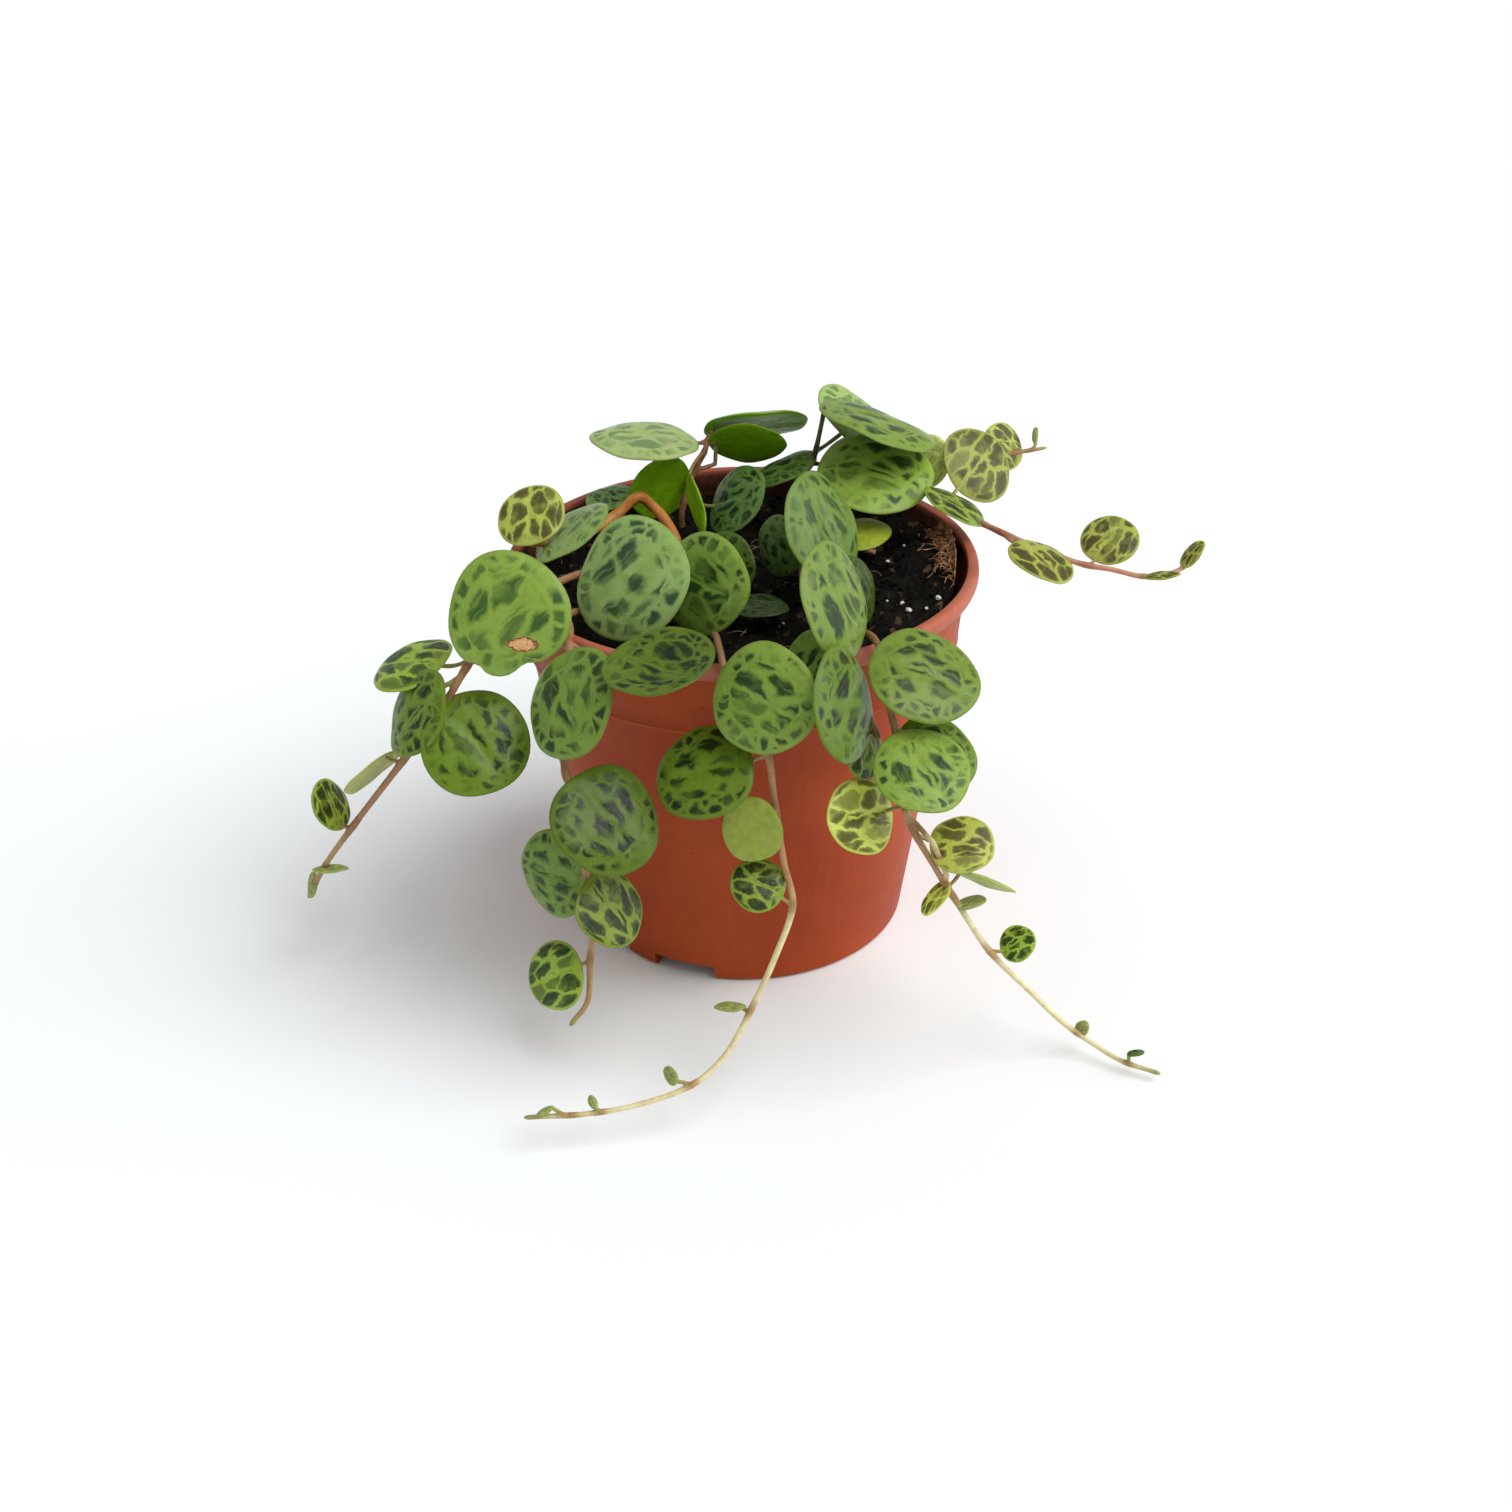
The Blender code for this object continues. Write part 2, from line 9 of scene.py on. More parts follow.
import logging
import math
import random
from collections.abc import Callable, Iterator, Sequence
from contextlib import contextmanager
from dataclasses import dataclass
from enum import Enum
from typing import Any

import bmesh
import bpy
import numpy as np
from mathutils import Matrix, Vector, noise
from mathutils.kdtree import KDTree


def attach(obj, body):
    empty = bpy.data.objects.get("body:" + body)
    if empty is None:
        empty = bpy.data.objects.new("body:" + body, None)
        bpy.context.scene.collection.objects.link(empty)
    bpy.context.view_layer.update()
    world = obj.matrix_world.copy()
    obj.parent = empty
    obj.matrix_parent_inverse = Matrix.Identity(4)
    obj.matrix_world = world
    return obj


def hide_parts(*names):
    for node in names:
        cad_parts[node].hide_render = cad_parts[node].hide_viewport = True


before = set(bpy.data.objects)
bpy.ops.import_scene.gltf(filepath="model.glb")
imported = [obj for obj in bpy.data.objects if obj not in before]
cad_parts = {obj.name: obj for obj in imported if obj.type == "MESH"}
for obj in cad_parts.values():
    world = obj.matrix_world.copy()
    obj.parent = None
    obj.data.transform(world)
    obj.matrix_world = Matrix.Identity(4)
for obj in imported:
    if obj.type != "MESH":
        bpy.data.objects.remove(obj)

log = logging.getLogger("potted_plant")

MM = 0.001
LEVEL = 1e-6
THINNEST_BLADE = 0.8
THICKNESS_RATE = 0.09
STALK_AGE = 2.0
BODY = "root"
Point = tuple[float, float, float]
Colour = tuple[float, float, float]
Socket = bpy.types.NodeSocket
Sample = tuple[Vector, float, float, float]


def srgb(red: float, green: float, blue: float) -> Colour:
    """Turns a colour as a screen shows it into the linear values that shaders take.

    Args:
        red: Red, 0 to 255.
        green: Green, 0 to 255.
        blue: Blue, 0 to 255.

    Returns:
        The linear colour.
    """
    shares = (value / 255 for value in (red, green, blue))
    return tuple(s / 12.92 if s <= 0.04045 else ((s + 0.055) / 1.055) ** 2.4 for s in shares)


def select_only(*objects: bpy.types.Object) -> None:
    """Selects these objects and no other, the first of them active.

    Args:
        *objects: The objects.
    """
    bpy.ops.object.select_all(action="DESELECT")
    for obj in objects:
        obj.select_set(True)
    bpy.context.view_layer.objects.active = objects[0]


def added(name: str, operator: Callable[..., Any], **values: Any) -> bpy.types.Object:
    """Adds a primitive with nothing else selected.

    Args:
        name: Name of the object and its data.
        operator: The operator that adds it.
        **values: The operator's values.

    Returns:
        The new object.
    """
    bpy.ops.object.select_all(action="DESELECT")
    operator(**values)
    obj = bpy.context.object
    obj.name = obj.data.name = name
    return obj


@contextmanager
def editing(obj: bpy.types.Object) -> Iterator[None]:
    """Runs a block in edit mode.

    Args:
        obj: The object to edit.

    Yields:
        Nothing.
    """
    select_only(obj)
    bpy.ops.object.mode_set(mode="EDIT")
    yield
    bpy.ops.object.mode_set(mode="OBJECT")


def face_outwards() -> None:
    """Turns every face of the mesh in edit mode outwards."""
    bpy.ops.mesh.select_all(action="SELECT")
    bpy.ops.mesh.normals_make_consistent(inside=False)


def select_vertices(obj: bpy.types.Object, wanted: Callable[[Vector], bool]) -> None:
    """Selects, in edit mode, the vertices whose place passes a test, and deselects the others.

    Args:
        obj: The object in edit mode.
        wanted: Test of a vertex's place.
    """
    bpy.ops.mesh.select_mode(type="VERT")
    mesh = bmesh.from_edit_mesh(obj.data)
    for vertex in mesh.verts:
        vertex.select_set(wanted(vertex.co))
    mesh.select_flush_mode()
    bmesh.update_edit_mesh(obj.data)


def apply_modifier(obj: bpy.types.Object, kind: str, **values: Any) -> None:
    """Adds a modifier, sets its values and applies it.

    Args:
        obj: The object.
        kind: The modifier's type.
        **values: The modifier's values by name.
    """
    modifier = obj.modifiers.new(kind.title(), kind)
    for name, value in values.items():
        setattr(modifier, name, value)
    select_only(obj)
    bpy.ops.object.modifier_apply(modifier=modifier.name)


def settle(obj: bpy.types.Object) -> None:
    """Moves an object's place, turn and scale into its mesh."""
    select_only(obj)
    bpy.ops.object.transform_apply(location=True, rotation=True, scale=True)


def coordinates(obj: bpy.types.Object) -> np.ndarray:
    """Gives the places of an object's vertices.

    Args:
        obj: The object.

    Returns:
        One row for each vertex, in metres.
    """
    places = np.empty(len(obj.data.vertices) * 3, np.float32)
    obj.data.vertices.foreach_get("co", places)
    return places.reshape(-1, 3).astype(float)


def move_vertices(obj: bpy.types.Object, places: np.ndarray) -> None:
    """Gives every vertex of an object a new place, in metres."""
    obj.data.vertices.foreach_set("co", places.astype(np.float32).ravel())
    obj.data.update()


def store(obj: bpy.types.Object, name: str, kind: str, values: np.ndarray) -> None:
    """Stores one value for each vertex as an attribute of the mesh.

    Args:
        obj: The object.
        name: Name of the attribute.
        kind: Its type.
        values: One row for each vertex; a colour has three values.
    """
    if kind == "FLOAT_COLOR":
        values = np.hstack((values, np.ones((len(values), 1))))
    attribute = obj.data.attributes.new(name, kind, "POINT")
    member = {"FLOAT": "value", "FLOAT_COLOR": "color", "FLOAT_VECTOR": "vector"}[kind]
    attribute.data.foreach_set(member, values.astype(np.float32).ravel())


def raise_rings(
    name: str, sides: int, stations: Sequence[tuple[float, float]], unit: float = MM
) -> bpy.types.Object:
    """Raises a circle ring by ring, and closes both ends with faces round a middle point.

    Args:
        name: Name of the new object.
        sides: Vertices in a ring.
        stations: (radius, height) of each ring.
        unit: Metres in a unit of these.

    Returns:
        The closed round body.
    """
    (radius, height), *others = [(radius * unit, height * unit) for radius, height in stations]
    circle = bpy.ops.mesh.primitive_circle_add
    obj = added(name, circle, vertices=sides, radius=radius, fill_type="NGON", location=(0, 0, height))
    settle(obj)
    with editing(obj):
        bpy.ops.mesh.select_all(action="SELECT")
        for next_radius, next_height in others:
            rise = (0, 0, next_height - height)
            bpy.ops.mesh.extrude_region_move(TRANSFORM_OT_translate={"value": rise})
            grown = next_radius / radius
            bpy.ops.transform.resize(value=(grown, grown, 1), center_override=(0, 0, next_height))
            radius, height = next_radius, next_height
        bpy.ops.mesh.poke()
        face_outwards()
    return obj


def tubes(
    name: str, runs: Sequence[Sequence[tuple[Vector, float]]], kind: str, roundness: int
) -> bpy.types.Object:
    """Makes round tubes with closed ends along rows of points.

    Args:
        name: Name of the new object.
        runs: For each tube its points, each with the tube's radius there, in millimetres.
        kind: POLY to run straight from point to point, NURBS to round the corners.
        roundness: How finely a tube is rounded.

    Returns:
        All tubes as one mesh.
    """
    obj = added(name, bpy.ops.curve.primitive_nurbs_path_add)
    curve = obj.data
    curve.splines.clear()
    for run in runs:
        spline = curve.splines.new(kind)
        spline.points.add(len(run) - 1)
        if kind == "NURBS":
            spline.use_endpoint_u = True
            spline.order_u = 3
            spline.resolution_u = 3
        for target, (place, radius) in zip(spline.points, run):
            target.co = (*(place * MM), 1.0)
            target.radius = radius
    curve.dimensions = "3D"
    curve.bevel_depth = MM
    curve.bevel_resolution = roundness
    curve.use_fill_caps = True
    select_only(obj)
    bpy.ops.object.convert(target="MESH")
    obj.name = obj.data.name = name
    return obj


def joined(name: str, objects: Sequence[bpy.types.Object]) -> bpy.types.Object:
    """Joins objects into one.

    Args:
        name: Name of the joined object.
        objects: The objects, each with its own mesh.

    Returns:
        The joined object.
    """
    select_only(*objects)
    if len(objects) > 1:
        bpy.ops.object.join()
    objects[0].name = objects[0].data.name = name
    return objects[0]


def copied(master: bpy.types.Object, name: str, matrix: Matrix | None = None) -> bpy.types.Object:
    """Copies an object with a mesh of its own, and moves that mesh.

    Args:
        master: The object to copy.
        name: Name of the copy.
        matrix: Where the copy's mesh goes.

    Returns:
        The copy, at the origin.
    """
    mesh = master.data.copy()
    if matrix is not None:
        mesh.transform(matrix)
    return linked(name, mesh)


def linked(name: str, data: bpy.types.ID, matrix: Matrix | None = None) -> bpy.types.Object:
    """Puts a new object in the scene.

    Args:
        name: Name of the object.
        data: Its mesh, camera or light.
        matrix: Where it stands.

    Returns:
        The object.
    """
    obj = bpy.data.objects.new(name, data)
    if matrix is not None:
        obj.matrix_world = matrix
    bpy.context.scene.collection.objects.link(obj)
    return obj


def finish_piece(
    obj: bpy.types.Object, material: bpy.types.Material, nodes: Sequence[str] = ()
) -> None:
    """Gives a piece its material, hangs it on its body and hides the CAD parts that it stands for.

    Args:
        obj: The piece.
        material: Its finish.
        nodes: CAD nodes that it stands for.
    """
    obj.data.materials.clear()
    obj.data.materials.append(material)
    for polygon in obj.data.polygons:
        polygon.use_smooth = True
    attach(obj, BODY)
    if nodes:
        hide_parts(*nodes)
    log.info("%s: %d faces", obj.name, len(obj.data.polygons))


class Graph:
    """A material's nodes, with one short call for each kind that the finishes share."""

    def __init__(self, name: str) -> None:
        """Starts a material with a Principled shader.

        Args:
            name: Name of the material.
        """
        self.material = bpy.data.materials.new(name)
        self.material.use_nodes = True
        self.shader = self.material.node_tree.nodes["Principled BSDF"]

    def node(self, kind: str, inputs: dict[Any, Any] | None = None, **settings: Any) -> bpy.types.Node:
        """Adds a node.

        Args:
            kind: The node's type, without its ShaderNode prefix.
            inputs: Value or output socket for each input, by name or number.
            **settings: The node's own properties.

        Returns:
            The node.
        """
        made = self.material.node_tree.nodes.new(f"ShaderNode{kind}")
        for name, value in settings.items():
            setattr(made, name, value)
        for key, value in (inputs or {}).items():
            self.feed(made.inputs[key], value)
        return made

    def feed(self, target: Socket, value: Any) -> None:
        """Links an output socket to an input, or sets the input to a value.

        Args:
            target: The input.
            value: A socket, a number, a vector or a colour.
        """
        if isinstance(value, Socket):
            self.material.node_tree.links.new(value, target)
        elif target.type == "RGBA":
            target.default_value = (*value[:3], 1.0)
        else:
            target.default_value = value

    def shade(self, **values: Any) -> None:
        """Sets or links the shader's sockets; an underscore in a name stands for a space."""
        for name, value in values.items():
            self.feed(self.shader.inputs[name.replace("_", " ")], value)

    def math(self, operation: str, first: Any, second: Any = 0.0) -> Socket:
        """Returns the result of a Math node."""
        return self.node("Math", {0: first, 1: second}, operation=operation).outputs[0]

    def times(self, product: Any, *factors: Any) -> Socket:
        """Multiplies values.

        Args:
            product: The first value.
            *factors: The others.

        Returns:
            The product of all.
        """
        for factor in factors:
            product = self.math("MULTIPLY", product, factor)
        return product

    def plus(self, first: Any, second: Any) -> Socket:
        """Returns the sum of two values."""
        return self.math("ADD", first, second)

    def less(self, first: Any, second: Any) -> Socket:
        """Returns the first value less the second."""
        return self.math("SUBTRACT", first, second)

    def vector(self, operation: str, first: Any, second: Any = (0, 0, 0)) -> Socket:
        """Returns the result of a Vector Math node.

        Args:
            operation: What the node does.
            first: A vector.
            second: A vector, or the factor of SCALE.

        Returns:
            A length for LENGTH, or else a vector.
        """
        made = self.node("VectorMath", {0: first}, operation=operation)
        self.feed(made.inputs["Scale" if operation == "SCALE" else 1], second)
        return made.outputs["Value" if operation == "LENGTH" else "Vector"]

    def dot(self, first: Any, second: Any) -> Socket:
        """Returns the dot product of two vectors."""
        return self.node("VectorMath", {0: first, 1: second}, operation="DOT_PRODUCT").outputs["Value"]

    def flat(self, x: Any, y: Any) -> Socket:
        """Returns the vector with these two coordinates."""
        return self.node("CombineXYZ", {0: x, 1: y}).outputs[0]

    def mix(self, share: Any, first: Any, second: Any, blend: str = "MIX") -> Socket:
        """Returns a colour that goes from the first to the second as the share goes from 0 to 1."""
        inputs = {"Factor": share, 6: first, 7: second}
        return self.node("Mix", inputs, data_type="RGBA", blend_type=blend).outputs[2]

    def tint(self, share: Any, colour: Any, tint: Colour) -> Socket:
        """Returns a colour that a tint multiplies as the share goes from 0 to 1."""
        return self.mix(share, colour, self.mix(1.0, colour, tint, "MULTIPLY"))

    def ramp(self, value: Any, low: float, high: float, start: float = 0.0, end: float = 1.0) -> Socket:
        """Returns a smooth step from start to end as the value goes from low to high."""
        inputs = {"Value": value, "From Min": low, "From Max": high, "To Min": start, "To Max": end}
        return self.node("MapRange", inputs, interpolation_type="SMOOTHSTEP").outputs["Result"]

    def noise(self, vector: Any, scale: float, detail: float = 2.0, roughness: float = 0.5) -> Socket:
        """Returns a cloudy value from 0 to 1."""
        inputs = {"Vector": vector, "Scale": scale, "Detail": detail, "Roughness": roughness}
        return self.node("TexNoise", inputs).outputs["Fac"]

    def wander(self, vector: Any, scale: float, reach: float) -> Socket:
        """Moves a vector about by a cloudy pattern.

        Args:
            vector: The vector.
            scale: Scale of the pattern.
            reach: Twice the longest move along an axis.

        Returns:
            The moved vector.
        """
        cloud = self.node("TexNoise", {"Vector": vector, "Scale": scale, "Detail": 2.0}).outputs["Color"]
        centred = self.vector("SUBTRACT", cloud, (0.5, 0.5, 0.5))
        return self.vector("ADD", vector, self.vector("SCALE", centred, reach))

    def cells(self, vector: Any, scale: float, feature: str = "F1", size: str = "3D") -> bpy.types.Node:
        """Returns a Voronoi node."""
        inputs = {"Vector": vector, "Scale": scale}
        return self.node("TexVoronoi", inputs, feature=feature, voronoi_dimensions=size)

    def scatter(self, vector: Any, scale: float, size: str = "3D") -> Socket:
        """Returns the distance from the nearest of many scattered points."""
        return self.cells(vector, scale, "F1", size).outputs["Distance"]

    def chances(self, cells: bpy.types.Node) -> bpy.types.Node:
        """Returns the node that gives each Voronoi cell its three chance values."""
        return self.node("SeparateColor", {0: cells.outputs["Color"]})

    def attribute(self, name: str, output: str = "Fac") -> Socket:
        """Returns an attribute of the mesh: Fac for a number, or else Color or Vector."""
        return self.node("Attribute", attribute_name=name).outputs[output]

    def place(self) -> Socket:
        """Returns the object coordinates, in metres."""
        return self.node("TexCoord").outputs["Object"]

    def bump(self, height: Any, distance: float, strength: float = 1.0, normal: Any = None) -> Socket:
        """Bends a normal by a relief.

        Args:
            height: Height of the relief, from 0 to 1.
            distance: What a height of 1 stands for, in metres.
            strength: How much of the bend is kept.
            normal: The normal to bend, or None for the surface's own.

        Returns:
            The bent normal.
        """
        inputs = {"Height": height, "Distance": distance, "Strength": strength}
        if normal is not None:
            inputs["Normal"] = normal
        return self.node("Bump", inputs).outputs["Normal"]


@dataclass(frozen=True)
class PotPlastic:
    """Matte terracotta plastic, faintly clouded, with a paler lip and a darker inside wall.

    The lip is paler for scuffs and a painted highlight; the inside wall is darker for painted shade.

    Heights are metres above the underside, from where a layer starts to where it is full.
    """

    ground: Colour = srgb(168, 68, 22)
    deep: Colour = srgb(152, 55, 17)
    dust: Colour = srgb(190, 108, 62)
    speck: Colour = srgb(70, 40, 28)
    # Pale pink of the lip: scuffs and a painted highlight.
    lip_scuffs_and_highlight: Colour = srgb(188, 130, 114)
    lip_scuffs_and_highlight_heights: tuple[float, float] = (0.0482, 0.0496)
    # Near-black brown of the inside wall: painted shade.
    painted_inside_shade: Colour = srgb(42, 22, 14)
    painted_inside_shade_heights: tuple[float, float] = (0.0506, 0.0499)
    roughness: float = 0.5
    specular: float = 0.18

    def material(self) -> bpy.types.Material:
        """Lays the layers of the finish.

        Returns:
            The material.
        """
        g = Graph("terracotta_plastic")
        place = g.place()
        clouds = g.ramp(g.noise(place, 55, 4), 0.35, 0.7)
        colour = g.mix(clouds, self.ground, self.deep)
        long_place = g.vector("MULTIPLY", place, (1, 1, 0.06))
        drag = g.ramp(g.noise(long_place, 900, 3), 0.45, 0.75)
        colour = g.mix(g.times(drag, 0.05), colour, self.dust)
        powder = g.ramp(g.noise(place, 210, 6, 0.65), 0.56, 0.78)
        colour = g.mix(g.times(powder, 0.12), colour, self.dust)
        specks = g.ramp(g.scatter(place, 420), 0.10, 0.02)
        rare = g.ramp(g.noise(place, 140, 1), 0.60, 0.66)
        colour = g.mix(g.times(specks, rare), colour, self.speck)
        height = g.dot(place, (0, 0, 1))
        # Scuffs and painted highlight: the lip's upper part goes towards pale pink in uneven patches.
        lip_scuffs_and_highlight_patches = g.ramp(g.noise(place, 160, 4, 0.6), 0.3, 0.7, 0.3, 0.55)
        colour = g.mix(g.times(lip_scuffs_and_highlight_patches, g.ramp(height, *self.lip_scuffs_and_highlight_heights)), colour, self.lip_scuffs_and_highlight)
        # Painted shade: inward faces below the lip go towards near-black brown, unevenly.
        outward = g.dot(g.node("NewGeometry").outputs["Normal"], g.vector("MULTIPLY", place, (1, 1, 0)))
        inside = g.times(g.ramp(outward, -0.006, -0.018), g.ramp(height, *self.painted_inside_shade_heights))
        painted_shade_patches = g.ramp(g.noise(place, 260, 4, 0.6), 0.3, 0.62, 0.55, 0.97)
        colour = g.mix(g.times(inside, painted_shade_patches), colour, self.painted_inside_shade)
        normal = g.bump(g.noise(place, 2600, 3), 0.00004, 0.5)
        normal = g.bump(g.noise(long_place, 500, 2), 0.00008, 0.35, normal)
        rough = g.ramp(powder, 0, 1, self.roughness, self.roughness + 0.2)
        g.shade(Base_Color=colour, Roughness=rough, Normal=normal, Specular_IOR_Level=self.specular)
        return g.material


@dataclass(frozen=True)
class Peat:
    """Near-black moist peat with brown crumbs and pale flecks."""

    wet: Colour = srgb(11, 9, 7)
    dry: Colour = srgb(32, 25, 17)
    fleck: Colour = srgb(104, 82, 56)
    specular: float = 0.1

    def material(self) -> bpy.types.Material:
        """Lays the layers of the finish.

        Returns:
            The material.
        """
        g = Graph("peat")
        place = g.place()
        lumps = g.cells(g.wander(place, 900, 0.0006), 1100)
        shade = g.ramp(g.noise(place, 700, 5, 0.6), 0.42, 0.72)
        colour = g.mix(shade, self.wet, self.dry)
        flecks = g.ramp(g.chances(lumps).outputs[0], 0.93, 0.97, 0.0, 0.6)
        colour = g.mix(flecks, colour, self.fleck)
        height = g.plus(g.noise(place, 2400, 4, 0.7), g.times(lumps.outputs["Distance"], 1.5))
        g.shade(Base_Color=colour, Roughness=g.ramp(shade, 0, 1, 0.6, 0.9))
        g.shade(Normal=g.bump(height, 0.0003, 0.9), Specular_IOR_Level=self.specular)
        return g.material


@dataclass(frozen=True)
class Grain:
    """Porous white volcanic grain, dusted with peat."""

    pale: Colour = srgb(226, 222, 212)
    dusty: Colour = srgb(120, 104, 90)

    def material(self) -> bpy.types.Material:
        """Lays the layers of the finish.

        Returns:
            The material.
        """
        g = Graph("pale_grain")
        place = g.place()
        dust = g.ramp(g.noise(place, 1500, 4, 0.6), 0.48, 0.7)
        g.shade(Base_Color=g.mix(dust, self.pale, self.dusty), Roughness=g.ramp(dust, 0, 1, 0.75, 0.95))
        g.shade(Normal=g.bump(g.scatter(place, 4200), 0.00015, 0.9))
        return g.material


@dataclass(frozen=True)
class Fibre:
    """Dry root or husk fibre, streaked along its clump."""

    name: str
    pale: Colour
    deep: Colour
    roughness: float = 0.75

    def material(self) -> bpy.types.Material:
        """Lays the layers of the finish.

        Returns:
            The material.
        """
        g = Graph(self.name)
        place = g.place()
        streak = g.ramp(g.noise(place, 1300, 4, 0.6), 0.35, 0.68)
        normal = g.bump(g.noise(place, 5200, 3), 0.00006, 0.6)
        g.shade(Base_Color=g.mix(streak, self.deep, self.pale), Roughness=self.roughness, Normal=normal)
        return g.material


@dataclass(frozen=True)
class Bark:
    """Skin of stems and stalks: its colour is stored in the mesh; browner at the nodes, with pale dots."""

    blotch: Colour = srgb(196, 150, 128)
    knot: Colour = srgb(196, 172, 132)
    dot: Colour = srgb(228, 196, 150)
    roughness: float = 0.5

    def material(self) -> bpy.types.Material:
        """Lays the layers of the finish.

        Returns:
            The material.
        """
        g = Graph("stem_skin")
        place = g.place()
        blotches = g.ramp(g.noise(place, 620, 4, 0.6), 0.4, 0.7, 0.0, 0.4)
        colour = g.tint(blotches, g.attribute("bark", "Color"), self.blotch)
        colour = g.tint(g.attribute("knot"), colour, self.knot)
        dots = g.ramp(g.scatter(place, 2400), 0.22, 0.08)
        colour = g.mix(g.times(dots, 0.28), colour, self.dot)
        height = g.plus(g.noise(place, 1800, 4, 0.6), g.times(dots, 0.4))
        g.shade(Base_Color=colour, Roughness=self.roughness, Normal=g.bump(height, 0.00012, 0.7))
        g.shade(Subsurface_Weight=0.15, Subsurface_Scale=0.0008, Subsurface_Radius=(1.0, 0.6, 0.3))
        return g.material


